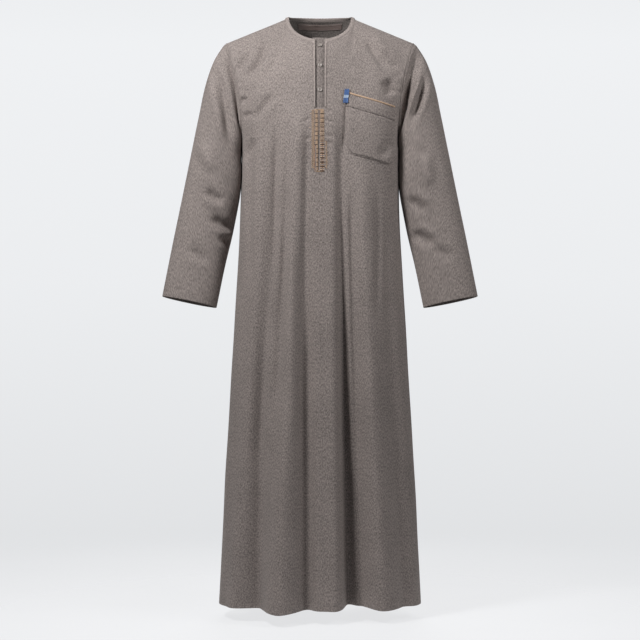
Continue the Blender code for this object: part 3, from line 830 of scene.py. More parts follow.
@dataclass(frozen=True)
class StudioFloor:
    """A pale seamless floor that fades out into the backdrop, a little worn in its sheen. Its glow is painted
    light that keeps shadows on it faint.
    """

    name: str = "studio_floor"
    colour: tuple[float, float, float] = (0.86, 0.865, 0.88)
    painted_glow: float = 0.85
    dimmed: float = 0.8
    fade_from: float = 1.2
    fade_to: float = 2.3

    def build(self) -> bpy.types.Material:
        """Makes the material on object coordinates, clear at its rim.

        Returns:
            The material.
        """
        bench = NodeBench(self.name)
        place = bench.add("TexCoord").outputs["Object"]
        distance = bench.add("VectorMath", {0: place}, operation="LENGTH").outputs["Value"]
        reach = {"Value": distance, 1: self.fade_from, 2: self.fade_to, 3: 1.0, 4: 0.0}
        alpha = bench.add("MapRange", reach, interpolation_type="SMOOTHSTEP").outputs[0]
        paint = bench.noise(place, (2.0, 2.0, 2.0), 2.0)
        tone = bench.ramp(paint, self.colour, (0.3, 0.985), (0.7, 1.01))
        lit = bench.blend(self.dimmed, tone, (0.0, 0.0, 0.0, 1.0))
        return bench.finish(
            Base_Color=lit,
            # Painted light: the floor glows on its own, so the robe's shadow on it stays faint.
            Emission_Color=tone,
            Emission_Strength=self.painted_glow,
            Roughness=0.8,
            Specular_IOR_Level=0.1,
            Alpha=alpha,
        )


class Finishes:
    """Every finish of the robe, made once."""

    def __init__(self) -> None:
        """Builds the materials."""
        taupe = (0.215, 0.184, 0.171)
        self.cloth = Chambray("taupe_chambray", taupe).build()
        # Painted shade: the inner face is the same cloth made darker, for the shadow inside the robe.
        self.inside = Chambray("taupe_chambray_inside_painted_shade", shade(taupe, 0.42)[:3]).build()
        # Painted shade: the placket band is the same cloth made darker, for the shade of its recess.
        self.placket = Chambray("taupe_placket_painted_shade", shade(taupe, 0.76)[:3]).build()
        # Painted highlight: the binding and the placket edges are the same cloth made lighter, for the light
        # on their folds.
        self.binding = Chambray("taupe_binding", shade(taupe, 1.20)[:3], contrast=0.5).build()
        self.piping = Chambray("tan_piping", (0.42, 0.29, 0.20), contrast=0.5).build()
        # The tape's reddish tint is its own; its darkness is painted shade, matched to the shaded inside of
        # the back neck.
        brown = (0.098, 0.07, 0.062)
        self.tape = WovenTape("neck_tape", brown, brown, 1.0, 1.0).build()
        self.label = WovenTape("blue_label", (0.030, 0.080, 0.215), (0.30, 0.38, 0.50), 0.013, 0.020).build()
        self.tan_thread = Thread("tan_thread", (0.41, 0.282, 0.188), sheen=0.25).build()
        self.rust_thread = Thread("rust_thread", (0.30, 0.155, 0.085)).build()
        self.brown_thread = Thread("brown_thread", (0.075, 0.042, 0.028)).build()
        # Painted shade: near-black stitches that stand in for the shadow in the slit's opening.
        self.slit_shade = Thread("slit_shade", (0.030, 0.022, 0.018)).build()
        # Partly painted shade: real pocket stitches, darkened to draw the shadow along the pocket's outline.
        self.dark_thread = Thread("dark_taupe_thread_painted_shade", (0.070, 0.056, 0.050)).build()
        self.sewing_thread = Thread("taupe_thread", (0.205, 0.175, 0.160)).build()
        self.resin = Resin().build()
        self.floor = StudioFloor().build()


def cloth_uv(points: Array) -> Array:
    """UV coordinates in metres of cloth, from the middle column and up each column.

    Args:
        points: the outer face, a column along the first axis.

    Returns:
        U and V of each point.
    """
    around = np.cumsum(np.linalg.norm(np.diff(points, axis=0), axis=2), axis=0)
    u = np.concatenate([np.zeros((1, points.shape[1])), around])
    up = np.cumsum(np.linalg.norm(np.diff(points, axis=1), axis=2), axis=1)
    v = np.concatenate([np.zeros((points.shape[0], 1)), up], axis=1)
    return np.stack([u - u[len(u) // 2], v], axis=-1)


def tube_facing(points: Array) -> int:
    """Which way the grid of a tube faces: 1 where its first axis crossed with its second points out."""
    flat = np.cross(np.gradient(points, axis=0), np.gradient(points, axis=1))
    return int(np.sign((flat * (points - points.mean(axis=0, keepdims=True))).sum()))


def grid_normals(points: Array, facing: int) -> Array:
    """Unit normals of a grid of points, on the side that faces out."""
    normals = np.cross(np.gradient(points, axis=0), np.gradient(points, axis=1)) * facing
    return normals / np.linalg.norm(normals, axis=-1, keepdims=True)


def stretch_area(points: Array) -> float:
    """The area of a grid of points, in square metres.

    Args:
        points: the grid, a column along the first axis.

    Returns:
        The area.
    """
    first = np.cross(points[1:, :-1] - points[:-1, :-1], points[:-1, 1:] - points[:-1, :-1])
    second = np.cross(points[:-1, 1:] - points[1:, 1:], points[1:, :-1] - points[1:, 1:])
    return float((np.linalg.norm(first, axis=-1) + np.linalg.norm(second, axis=-1)).sum() / 2)


def new_object(name: str, mesh: bmesh.types.BMesh, finish: bpy.types.Material, sharp: float = 50) -> Object:
    """Turns a bmesh into a smooth-shaded object at the origin.

    Args:
        name: the object's name.
        mesh: its shape, which is used up.
        finish: its material.
        sharp: the angle in degrees past which an edge stays sharp.

    Returns:
        The object.
    """
    data = bpy.data.meshes.new(name)
    mesh.to_mesh(data)
    mesh.free()
    data.materials.append(finish)
    data.shade_smooth()
    data.set_sharp_from_angle(angle=math.radians(sharp))
    made = bpy.data.objects.new(name, data)
    bpy.context.scene.collection.objects.link(made)
    return made


@dataclass
class ClothPiece:
    """A piece of cloth: a grid of points on its outer face, given a wall on the inner side."""

    name: str
    nodes: tuple[str, ...]
    slot: str
    finish: bpy.types.Material
    points: Array
    wall: float = 0.001
    facing: int = 1
    closed: bool = False
    keep: Array | None = None
    turned: Array | None = None
    held: str = "hung"
    # The inner face's material: a darker copy of the cloth, painted shade.
    inside: bpy.types.Material | None = None
    narrowest: float = 0.0101
    least_area_share: float = 0.31
    merge_distance: float = 0.00001

    def mesh(self, points: Array, keep: Array | None) -> bmesh.types.BMesh:
        """Moves a bmesh grid onto an array of points and lays the cloth's UVs on it.

        Args:
            points: the outer face's points, a column along the first axis.
            keep: says which faces stay, or None for all of them.

        Returns:
            The sheet.
        """
        columns, rows = points.shape[:2]
        mesh = bmesh.new()
        bmesh.ops.create_grid(mesh, x_segments=columns - 1, y_segments=rows - 1, size=0.5)
        last = (columns - 1, rows - 1)
        at = {v: tuple(round((v.co[k] + 0.5) * last[k]) for k in (0, 1)) for v in mesh.verts}
        layer, flat = mesh.loops.layers.uv.new("cloth"), cloth_uv(points)
        for face in mesh.faces:
            for loop in face.loops:
                loop[layer].uv = flat[at[loop.vert]]
        if keep is not None:
            gone = [f for f in mesh.faces if not keep[tuple(np.min([at[v] for v in f.verts], axis=0))]]
            bmesh.ops.delete(mesh, geom=gone, context="FACES")
        for vertex in mesh.verts:
            vertex.co = points[at[vertex]]
        if self.closed:
            seam = [v for v in mesh.verts if at[v][0] in (0, columns - 1)]
            bmesh.ops.remove_doubles(mesh, verts=seam, dist=self.merge_distance)
        if self.facing < 0:
            bmesh.ops.reverse_faces(mesh, faces=mesh.faces[:])
        return mesh

    def build(self, with_pieces: Sequence[Object] = ()) -> Object:
        """Makes the piece, stands it in for its frame nodes and logs its cut.

        Args:
            with_pieces: not used.

        Returns:
            The finished object.
        """
        points = self.points if self.turned is None else self.turned
        made = new_object(self.name, self.mesh(points, self.keep), self.finish)
        solid = made.modifiers.new("wall", "SOLIDIFY")
        solid.thickness, solid.offset = self.wall, -1.0
        solid.use_quality_normals = True
        # The inner face takes the darker copy of the cloth: painted shade.
        if self.inside is not None:
            made.data.materials.append(self.inside)
            solid.material_offset = 1
        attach(made, "root")
        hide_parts(*self.nodes)
        flat = cloth_uv(self.points)
        width = max(self.narrowest, float((flat[-1, :, 0] - flat[0, :, 0]).max()))
        length = max(self.narrowest, float(flat[..., 1].max()))
        area = min(stretch_area(self.points), width * length)
        area = max(area, self.least_area_share * width * length)
        faces = len(made.data.polygons)
        LOG.info("%s: cut %.3f x %.3f m, %.4f m2, %d faces a side", self.name, width, length, area, faces)
        return made


def steps(*stops: tuple[float, int]) -> Array:
    """Even steps between stops, each given as where it is and how many steps lead up to it.

    Args:
        stops: the stops, in order. The first has no steps.

    Returns:
        Every place, the stops among them.
    """
    places = [stops[0][0]]
    for (start, _), (end, count) in zip(stops, stops[1:]):
        places.extend(np.linspace(start, end, count + 1)[1:])
    return np.array(places)


def turn_in(points: Array, normals: Array, down: Array, radius: float, depth: float) -> list[Array]:
    """Rows of a hem turned up inside: round a small bend, then flat back up the cloth.

    Args:
        points: the edge's points.
        normals: unit normals along the edge, facing out.
        down: unit directions along the edge that run off the cloth.
        radius: radius of the bend.
        depth: how far the hem reaches back up.

    Returns:
        One array of points for each added row.
    """
    rows = []
    for angle in np.linspace(0, math.pi, 5)[1:]:
        rows.append(points + down * radius * math.sin(angle) - normals * radius * (1 - math.cos(angle)))
    for share in (0.25, 0.6, 1.0):
        rows.append(points - normals * 2 * radius - down * depth * share)
    return rows


@dataclass
class ThreadWork:
    """Stitches and embroidery, as one joined mesh of small thread shapes."""

    name: str
    finish: bpy.types.Material
    slot: str = "taupe_chambray"
    sides: int = 6
    rings: int = 4
    radius: float = 0.00034
    flatness: float = 0.8
    shown: float = 0.68

    def __post_init__(self) -> None:
        """Makes the two shapes that are repeated: a plump stitch and a ring of thread."""
        self.mesh = bmesh.new()
        self.count = 0
        stitch = bmesh.new()
        bmesh.ops.create_uvsphere(stitch, u_segments=self.sides, v_segments=self.rings, radius=1)
        bmesh.ops.rotate(stitch, verts=stitch.verts[:], matrix=Matrix.Rotation(QUARTER, 3, "Y"))
        self.stitch = self.template("stitch", stitch)
        ring = bmesh.new()
        turn = Matrix.Translation((1, 0, 0)) @ Matrix.Rotation(QUARTER, 4, "X")
        made = bmesh.ops.create_circle(ring, segments=6, radius=0.34, matrix=turn)
        edges = list({edge for vertex in made["verts"] for edge in vertex.link_edges})
        spin = {"axis": (0, 0, 1), "angle": 2 * math.pi, "steps": 10, "use_merge": True}
        bmesh.ops.spin(ring, geom=[*made["verts"], *edges], cent=(0, 0, 0), **spin)
        bmesh.ops.remove_doubles(ring, verts=ring.verts[:], dist=0.0001)
        bmesh.ops.recalc_face_normals(ring, faces=ring.faces[:])
        self.ring = self.template("ring", ring)

    def template(self, kind: str, mesh: bmesh.types.BMesh) -> bpy.types.Mesh:
        """Keeps a small shape as a mesh to copy.

        Args:
            kind: the shape's name.
            mesh: the shape, which is used up.

        Returns:
            The mesh.
        """
        data = bpy.data.meshes.new(f"{self.name}_{kind}")
        mesh.to_mesh(data)
        mesh.free()
        return data

    def put(self, shape: bpy.types.Mesh, place: Matrix, size: Sequence[float]) -> None:
        """Adds one shape at a place, stretched to its size.

        Args:
            shape: the mesh to copy.
            place: where it goes and how it is turned.
            size: its scale along its own axes.
        """
        copy = shape.copy()
        copy.transform(place @ Matrix.Diagonal((*size, 1.0)))
        self.mesh.from_mesh(copy)
        bpy.data.meshes.remove(copy)
        self.count += 1

    def thread(self, start: Vector, end: Vector, normal: Vector, radius: float) -> None:
        """Lays one stitch from a point to another.

        Args:
            start: where it leaves the cloth.
            end: where it goes back in.
            normal: out of the cloth.
            radius: half the thread's width.
        """
        along = (end - start).normalized()
        side = normal.cross(along).normalized()
        basis = Matrix((along, side, along.cross(side))).transposed().to_4x4()
        size = ((end - start).length / 2 + radius, radius, radius * self.flatness)
        self.put(self.stitch, Matrix.Translation((start + end) / 2) @ basis, size)

    def run(self, path: Array, normals: Array, pitch: float = 0.0034) -> None:
        """Sews a line of even stitches along a path.

        Args:
            path: points along the line.
            normals: unit normals of the cloth along it.
            pitch: from one stitch to the next.
        """
        reach = np.concatenate([[0], np.cumsum(np.linalg.norm(np.diff(path, axis=0), axis=1))])
        for number in range(int(reach[-1] / pitch)):
            ends = (number + 0.5 + np.array([-self.shown, self.shown]) / 2) * pitch
            start, end = (Vector([np.interp(e, reach, path[:, k]) for k in range(3)]) for e in ends)
            normal = Vector([np.interp(ends[0], reach, normals[:, k]) for k in range(3)])
            self.thread(start, end, normal, self.radius)

    def sew(self, form: PanelForm, across: Array, height: Array, out: float) -> None:
        """Sews a line of stitches on a panel, between places given as across and height."""
        path = form.surface(across, height, out)
        self.run(path, form.surface(across, height, out + 0.001) - path)

    def build(self) -> Object:
        """Makes the joined object and removes the shapes it was made from.

        Returns:
            The object.
        """
        for shape in (self.stitch, self.ring):
            bpy.data.meshes.remove(shape)
        made = new_object(self.name, self.mesh, self.finish, 80)
        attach(made, "root")
        LOG.info("%s: %d threads, %d faces", self.name, self.count, len(made.data.polygons))
        return made


@dataclass
class Panels:
    """The front and the back of the robe."""

    finishes: Finishes
    column_width: float = 0.014
    seam_turn: float = 0.007
    hem_turn: float = 0.018
    hem_radius: float = 0.0012
    skirt_rows: int = 112
    ease_reach: float = 0.13
    ease_rounds: int = 90
    hem_steps: tuple[float, ...] = (0, 0.002, 0.005, 0.01, 0.014, 0.016, 0.018, 0.02, 0.024, 0.03)
    seam_gaps: tuple[float, ...] = (0.014, 0.008, 0.0045, 0.002, 0)
    fine_across: float = 0.13
    fine_column_width: float = 0.0085
    slot_rows: int = 30
    ease_front: tuple[float, float] = (-0.17, 0.045)
    ease_back: tuple[float, float] = (-0.3, 0.12)
    ease_from_top: tuple[float, float] = (0.004, 0.016)

    def columns(self) -> Array:
        """Across coordinates of the columns, close together beside the seams and the slot.

        Returns:
            The across coordinates, in rising order.
        """
        slot = ROBE.across_of(ROBE.slot_half_width)
        metre = 1 / (ROBE.chest_half_width * QUARTER)
        seams = [1 - metre * gap for gap in self.seam_gaps]
        half = [0, slot, ROBE.across_neck, self.fine_across, *seams]
        stops = sorted({*half, *(-stop for stop in half)})
        runs = []
        for a, b in zip(stops, stops[1:]):
            fine = abs(a + b) / 2 < self.fine_across
            longest = self.fine_column_width if fine else self.column_width
            runs.append(np.linspace(a, b, math.ceil((b - a) / longest) + 1)[:-1])
        return np.concatenate([*runs, [stops[-1]]])

    def heights(self, across: Array, side: Side) -> Array:
        """Heights of the rows of each column, from the hem to the top edge.

        Args:
            across: across coordinates of the columns.
            side: the front or the back.

        Returns:
            The heights, one row for each column.
        """
        hem = ROBE.hem + np.array(self.hem_steps)
        skirt = np.linspace(hem[-1], ROBE.underarm, self.skirt_rows + 1)[1:]
        shares = steps((0, 0), (ROBE.slot_share, self.slot_rows), (0.95, 52), (1.0, 7))[1:]
        tops = ROBE.top_z(across, side)
        yoke = ROBE.underarm + shares * (tops[:, None] - ROBE.underarm)
        below = np.tile(np.concatenate([hem, skirt]), (len(across), 1))
        return np.concatenate([below, yoke], axis=1)

    def with_turnings(self, form: PanelForm, across: Array, points: Array) -> tuple[Array, Array]:
        """Adds the seam turnings inside the side and shoulder seams, and the hem turned up inside.

        Args:
            form: the panel's form.
            across: across coordinates of its columns.
            points: its outer face.

        Returns:
            The points with the turnings, and which faces of that grid stay.
        """
        normals = grid_normals(points, -form.side.value)
        down = np.array([0.0, 0.0, -1.0])
        rows = turn_in(points[:, 0], normals[:, 0], down, self.hem_radius, self.hem_turn)
        top = points[:, -1] - normals[:, -1] * self.seam_turn
        points = np.concatenate([np.stack(rows[::-1], axis=1), points, top[:, None]], axis=1)
        normals = np.concatenate([np.repeat(normals[:, :1], len(rows), 1), normals, normals[:, -1:]], axis=1)
        flanges = [points[[k]] - normals[[k]] * self.seam_turn for k in (0, -1)]
        points = np.concatenate([flanges[0], points, flanges[1]])
        keep = np.ones(points.shape[:2], bool)
        middles = np.abs(across[:-1] + across[1:]) / 2
        keep[1:-2, -2] = middles > ROBE.across_neck
        keep[[0, -2], -2] = False
        if form.side is Side.FRONT:
            slot = middles < ROBE.across_of(ROBE.slot_half_width)
            first = len(rows) + len(self.hem_steps) + self.skirt_rows + self.slot_rows - 1
            keep[1:-2, first:] &= ~slot[:, None]
        return points, keep

    def eased(self, form: PanelForm, across: Array, heights: Array, points: Array) -> Array:
        """Rounds off the ridge that runs down the cloth from each neck point.

        Args:
            form: the panel's form.
            across: across coordinates of its columns.
            heights: heights of its points.
            points: its outer face.

        Returns:
            The points, moved only in and out of the face.
        """
        from_ridge = np.abs(np.abs(across) - ROBE.across_neck)[:, None]
        below_top = ROBE.top_z(across, form.side)[:, None] - heights
        low, fade = self.ease_front if form.side is Side.FRONT else self.ease_back
        start, lead = self.ease_from_top
        share = 1 - smooth_step(from_ridge / self.ease_reach)
        share = share * smooth_step((below_top - start) / lead)
        share = (share * smooth_step((heights - low) / fade))[1:-1]
        normals = grid_normals(points, -form.side.value)[1:-1]
        for _ in range(self.ease_rounds):
            gap = (points[:-2] + points[2:]) / 2 - points[1:-1]
            points[1:-1] += normals * (0.5 * share * (gap * normals).sum(-1))[..., None]
        return points

    def panel(self, form: PanelForm, name: str, with_pieces: Sequence[Object]) -> Object:
        """Builds one panel.

        Args:
            form: the panel's form.
            name: its name.
            with_pieces: the stitches sewn on it.

        Returns:
            The finished panel.
        """
        across = self.columns()
        heights = self.heights(across, form.side)
        points = form.surface(np.tile(across[:, None], (1, heights.shape[1])), heights)
        points = self.eased(form, across, heights, points)
        turned, keep = self.with_turnings(form, across, points)
        nodes = (f"{name}_top", f"{name}_skirt")
        piece = ClothPiece(name, nodes, "taupe_chambray", self.finishes.cloth, points)
        # The inner face is the darker copy of the cloth: painted shade.
        piece.turned, piece.keep, piece.inside = turned, keep, self.finishes.inside
        piece.facing = -form.side.value
        return piece.build(with_pieces)

    def hem_stitches(self) -> Object:
        """Sews the line of stitches round the hem.

        Returns:
            The stitches.
        """
        work = ThreadWork("hem_stitches", self.finishes.sewing_thread)
        across = np.linspace(-0.985, 0.985, 260)
        height = np.full(across.shape, ROBE.hem + self.hem_turn - STITCH_INSET)
        for form in (FRONT, BACK):
            work.sew(form, across, height, 0.0)
        return work.build()

    def build(self) -> None:
        """Builds both panels and the hem's stitches."""
        stitches = self.hem_stitches()
        self.panel(FRONT, "front_panel", [stitches])
        self.panel(BACK, "back_panel", [])


LEFT_SLEEVE_CREASES = (
    Crease(0.221, -0.14, 0.196, -0.262, -0.0125, 0.008),
    Crease(0.245, -0.128, 0.206, -0.256, 0.0075, 0.007),
    Crease(0.254, -0.136, 0.214, -0.272, -0.0105, 0.008, 0.004),
    Crease(0.206, -0.44, 0.256, -0.478, -0.01, 0.01, 0.004),
    Crease(0.212, -0.524, 0.276, -0.556, -0.0112, 0.011, 0.004),
    Crease(0.262, -0.56, 0.322, -0.584, -0.005, 0.012),
    Crease(0.246, -0.33, 0.262, -0.42, 0.0075, 0.014),
)
RIGHT_SLEEVE_CREASES = (
    Crease(0.256, -0.112, 0.212, -0.33, -0.0137, 0.011, -0.006),
    Crease(0.276, -0.418, 0.228, -0.452, -0.0105, 0.01, 0.003),
    Crease(0.264, -0.484, 0.194, -0.516, -0.012, 0.011, 0.004),
    Crease(0.242, -0.528, 0.206, -0.562, -0.0075, 0.009),
    Crease(0.29, -0.3, 0.252, -0.384, 0.0075, 0.014),
    Crease(0.318, -0.56, 0.262, -0.596, -0.0055, 0.012),
)
SLEEVE_BACK_CREASES = (
    Crease(0.25, -0.12, 0.212, -0.29, -0.0107, 0.011, 0.005),
    Crease(0.29, -0.43, 0.222, -0.458, -0.0101, 0.011, 0.005),
    Crease(0.296, -0.486, 0.226, -0.522, -0.0085, 0.01, -0.003),
    Crease(0.27, -0.33, 0.246, -0.408, 0.0068, 0.013),
)


@dataclass
class Sleeve:
    """A sleeve, a tube from the armhole to an open cuff with its hem turned up inside."""

    finishes: Finishes
    hand: Hand
    around: int = 112
    rows: int = 96
    blend: float = 0.16
    length: float = 0.62
    seam_depth: float = 0.0022
    dip_depth: float = 0.016
    dip_from_seam: tuple[float, float] = (0.018, 0.008)
    dip_width: float = 0.014
    seam_turn: float = 0.007
    hem_turn: float = 0.016
    hem_radius: float = 0.0012
    sections: tuple[SleeveSection, ...] = (
        SleeveSection(0.229, -0.06, 0.19, -0.318, 0.062, 0.0, 0.0),
        SleeveSection(0.257, -0.103, 0.1952, -0.334, 0.064, 0.001, 0.0105),
        SleeveSection(0.2765, -0.16, 0.1948, -0.356, 0.066, 0.002, 0.011),
        SleeveSection(0.2938, -0.24, 0.1946, -0.392, 0.065, 0.004, 0.0148),
        SleeveSection(0.3119, -0.33, 0.196, -0.438, 0.062, 0.008, 0.011),
        SleeveSection(0.3338, -0.44, 0.209, -0.5155, 0.057, 0.014, 0.002),
        SleeveSection(0.3562, -0.552, 0.229, -0.603, 0.051, 0.024, 0.0),
        SleeveSection(0.3796, -0.6748, 0.2488, -0.702, 0.047, 0.036, 0.0),
    )
    cuff_tilt: float = 0.0035
    cuff_tilt_share: float = 0.2
    first_rows: tuple[float, ...] = (0, 0.003, 0.0075, 0.014)
    cuff_rows: int = 9
    seam_lead: float = 0.004
    seam_share: float = 0.1
    dip_lead: float = 0.01

    def size(self, along: Array, column: str) -> Array:
        """A size of the sleeve at a share of its length.

        Args:
            along: share of the length, 0 at the armhole.
            column: which size of a section.

        Returns:
            The size at each share.
        """
        middle = [((s.outer_x + s.inner_x) / 2, (s.outer_z + s.inner_z) / 2) for s in self.sections]
        lengths = np.linalg.norm(np.diff(np.array(middle), axis=0), axis=1)
        reach = np.concatenate([[0], np.cumsum(lengths)])
        values = [getattr(section, column) for section in self.sections]
        return smooth_table(along, reach / reach[-1], values)

    def form(self, turn: Array, along: Array) -> Array:
        """The tube before it meets the armhole.

        Args:
            turn: the angle round the tube, 0 at the shoulder and a quarter turn at the front.
            along: share of the length, 0 at the armhole.

        Returns:
            The point for each turn and share.
        """
        forward = -self.size(along, "forward")
        outer = np.stack([self.size(along, "outer_x"), forward, self.size(along, "outer_z")], axis=-1)
        inner = np.stack([self.size(along, "inner_x"), forward, self.size(along, "inner_z")], axis=-1)
        point = (outer + inner) / 2 + (outer - inner) / 2 * np.cos(turn)[..., None]
        front = np.sin(turn)
        point[..., 1] -= self.size(along, "half_depth") * front
        bow = np.where(np.cos(turn) < 0, 4 * front**2 * (1 - front**2), 0)
        point[..., 0] -= self.size(along, "hug") * bow
        point[..., 2] += self.cuff_tilt * front * smooth_step(1 - (1 - along) / self.cuff_tilt_share)
        return point * (self.hand.value, 1, 1)

    def armhole(self, turn: Array) -> Array:
        """Points of the armhole's edge on the two body panels.

        Args:
            turn: the angle round the sleeve.

        Returns:
            The point for each angle.
        """
        height = ROBE.underarm + (1 + np.cos(turn)) / 2 * (-ROBE.shoulder_drop - ROBE.underarm)
        ends = np.full(turn.shape, float(self.hand.value))
        front = (np.sin(turn) >= 0)[..., None]
        return np.where(front, FRONT.surface(ends, height), BACK.surface(ends, height))

    def rise(self, turn: Array, along: Array, points: Array) -> Array:
        """How far creases and seams move the sleeve's face.

        Args:
            turn: the angle round the sleeve.
            along: share of its length.
            points: its plain face.

        Returns:
            The rise at each point.
        """
        facing, x, z = np.sin(turn), np.abs(points[..., 0]), points[..., 2]
        creases = LEFT_SLEEVE_CREASES if self.hand is Hand.LEFT else RIGHT_SLEEVE_CREASES
        front = crease_rise(creases, x, z) * smooth_step(1.6 * facing)
        back = crease_rise(SLEEVE_BACK_CREASES, x, z) * smooth_step(-1.6 * facing)
        length = along * self.length
        inside = smooth_step(length / 0.03) * smooth_step((self.length - length) / 0.05)
        agrees = smooth_step((np.cos(turn) + 0.9) / 0.9)
        rising = self.seam_depth * (1 - np.exp(-((length / self.seam_lead) ** 2)))
        rising = rising * agrees * (1 - smooth_step(along / self.seam_share))
        from_seam = self.dip_from_seam[0 if self.hand is Hand.LEFT else 1]
        dip = self.dip_depth * np.exp(-(((length - from_seam) / self.dip_width) ** 2))
        dip = dip * smooth_step(length / self.dip_lead) * smooth_step(1.4 * np.abs(facing))
        dip = dip * smooth_step(1.4 - np.cos(turn)) * smooth_step((np.cos(turn) + 0.85) / 0.5)
        uneven = ripple(x, z, 2.0 + self.hand.value + np.sign(facing))
        return (front + back + uneven * np.abs(facing)) * inside + rising - dip

    def points(self) -> tuple[Array, int]:
        """The sleeve's outer face and which way its grid faces.

        Returns:
            The points, and 1 or -1.
        """
        turn = np.linspace(math.pi, 3 * math.pi, self.around + 1)
        along = np.concatenate([self.first_rows, steps((0.022, 0), (0.96, self.rows), (1.0, 10))])
        turns, alongs = np.meshgrid(turn, along, indexing="ij")
        edge = self.armhole(turn) + (self.hand.value * ROBE.seam_gap, 0, 0)
        leave = (1 - smooth_step(alongs / self.blend))[..., None]
        tube = self.form(turns, alongs)
        tube = tube + (edge - self.form(turn, np.zeros_like(turn)))[:, None, :] * leave
        outward = tube_facing(tube)
        normals = grid_normals(tube, outward)
        normals[[0, -1]] = normals[[0]] + normals[[-1]]
        normals /= np.linalg.norm(normals, axis=-1, keepdims=True)
        return tube + normals * self.rise(turns, alongs, tube)[..., None], outward

    def build(self) -> None:
        """Builds the sleeve with its turned-up hem, and the stitches round the cuff."""
        hand = self.hand.name.lower()
        points, facing = self.points()
        normals = grid_normals(points, facing)
        normals[[0, -1]] = (normals[[0]] + normals[[-1]]) / 2
        down = points[:, -1] - points[:, -2]
        down /= np.linalg.norm(down, axis=1, keepdims=True)
        rows = turn_in(points[:, -1], normals[:, -1], down, self.hem_radius, self.hem_turn)
        flange = points[:, :1] - normals[:, :1] * self.seam_turn
        turned = np.concatenate([flange, points, np.stack(rows, axis=1)], axis=1)
        work = ThreadWork(f"cuff_stitches_{hand}", self.finishes.sewing_thread)
        above = points[:, -self.cuff_rows]
        reach = np.linalg.norm(points[:, -1] - above, axis=1).mean()
        share = (self.hem_turn - STITCH_INSET) / reach
        line = points[:, -1] * (1 - share) + above * share
        work.run(line, normals[:, -4])
        name = f"sleeve_{hand}"
        piece = ClothPiece(name, (name,), "taupe_chambray", self.finishes.cloth, points)
        # The inner face is the darker copy of the cloth: painted shade.
        piece.turned, piece.inside = turned, self.finishes.inside
        piece.facing, piece.closed = facing, True
        piece.build([work.build()])


@dataclass
class Neck:
    """The bias binding round the neckline and the tape inside the back neck."""

    finishes: Finishes
    height: float = 0.0052
    thickness: float = 0.0024
    gap: float = 0.0008
    lean: float = 0.6
    side_lean: float = 3.0
    overlap: float = 0.002
    tape_across: float = 0.15
    tape_top: float = -0.004
    tape_height: float = 0.014
    tape_inside: float = 0.0017
    tape_stitch_inset: float = 0.0016
    stitch_pitch: float = 0.003
    wall: float = 0.0006

    def edge(self) -> tuple[Array, Array, Array]:
        """The line of the neckline, from one side of the slot round to the other.

        Returns:
            Points, normals out of the cloth, and upright directions.
        """
        slot = ROBE.across_of(ROBE.slot_half_width)
        front = np.linspace(slot, ROBE.across_neck, 46)
        behind = np.linspace(ROBE.across_neck, -ROBE.across_neck, 92)[1:-1]
        runs = ((FRONT, front), (BACK, behind), (FRONT, -front[::-1]))
        points = np.concatenate([form.surface(a, ROBE.top_z(a, form.side)) for form, a in runs])
        for _ in range(6):
            points[1:-1] = (points[:-2] + 2 * points[1:-1] + points[2:]) / 4
        tangent = np.gradient(points, axis=0)
        tangent /= np.linalg.norm(tangent, axis=1, keepdims=True)
        side_share = (points[:, 0] / ROBE.neck_half_width) ** 4
        lean = self.lean + (self.side_lean - self.lean) * side_share
        up = -points * (lean / np.linalg.norm(points[:, :2], axis=1))[:, None]
        up[:, 2] = 1
        up -= tangent * np.sum(up * tangent, axis=1, keepdims=True)
        up /= np.linalg.norm(up, axis=1, keepdims=True)
        return points, np.cross(up, tangent), up

    def binding(self) -> None:
        """Builds the binding, folded over the edge, and its line of stitches."""
        points, normals, up = self.edge()
        middle = points + up * (self.gap + self.height / 2) - normals * 0.0007
        angle = np.linspace(0, 2 * math.pi, 15)
        rise = np.sign(np.cos(angle)) * np.abs(np.cos(angle)) ** 0.8 * (self.height / 2 + self.overlap)
        out = np.sin(angle) * self.thickness / 2
        ends = smooth_step(np.minimum(np.arange(len(points)), np.arange(len(points))[::-1]) / 3)
        pull = 1 + 0.05 * np.sin(np.arange(len(points)) * 1.9)
        scale = ((0.55 + 0.45 * ends) * pull)[None, :, None]
        ring = middle + (up * rise[:, None, None] + normals * out[:, None, None]) * scale
        work = ThreadWork("neck_stitches", self.finishes.sewing_thread, "taupe_binding")
        line = points + up * (self.gap + 0.0009) + normals * (self.thickness / 2 - 0.0005)
        work.run(line, normals, self.stitch_pitch)
        # The binding takes the lighter copy of the cloth: painted highlight on its fold.
        piece = ClothPiece("neck_binding", ("neck_binding",), "taupe_binding", self.finishes.binding, ring)
        piece.facing, piece.closed, piece.wall, piece.held = tube_facing(ring), True, self.wall, "folded"
        piece.build([work.build()])

    def tape(self) -> None:
        """Builds the tape, with its two lines of stitches."""
        across = np.linspace(-self.tape_across, self.tape_across, 48)
        height = self.tape_top - self.tape_height * np.linspace(1, 0, 10)
        inside = -self.tape_inside - 0.0003 * np.sin(across * 60)[:, None] * np.ones(10)
        points = BACK.surface(across[:, None], height[None, :], inside)
        work = ThreadWork("tape_stitches", self.finishes.sewing_thread, "neck_tape")
        for level in (height[0] + self.tape_stitch_inset, height[-1] - self.tape_stitch_inset):
            line = BACK.surface(across, np.full(across.shape, level), -self.tape_inside - 0.0004)
            work.run(line, line - BACK.surface(across, np.full(across.shape, level), 0.0))
        # The tape's dark tone is partly painted shade of the inner back neck.
        piece = ClothPiece("neck_tape", ("neck_tape",), "neck_tape", self.finishes.tape, points)
        piece.wall, piece.held = self.wall, "stretched"
        piece.build([work.build()])

    def build(self) -> None:
        """Builds both."""
        self.binding()
        self.tape()


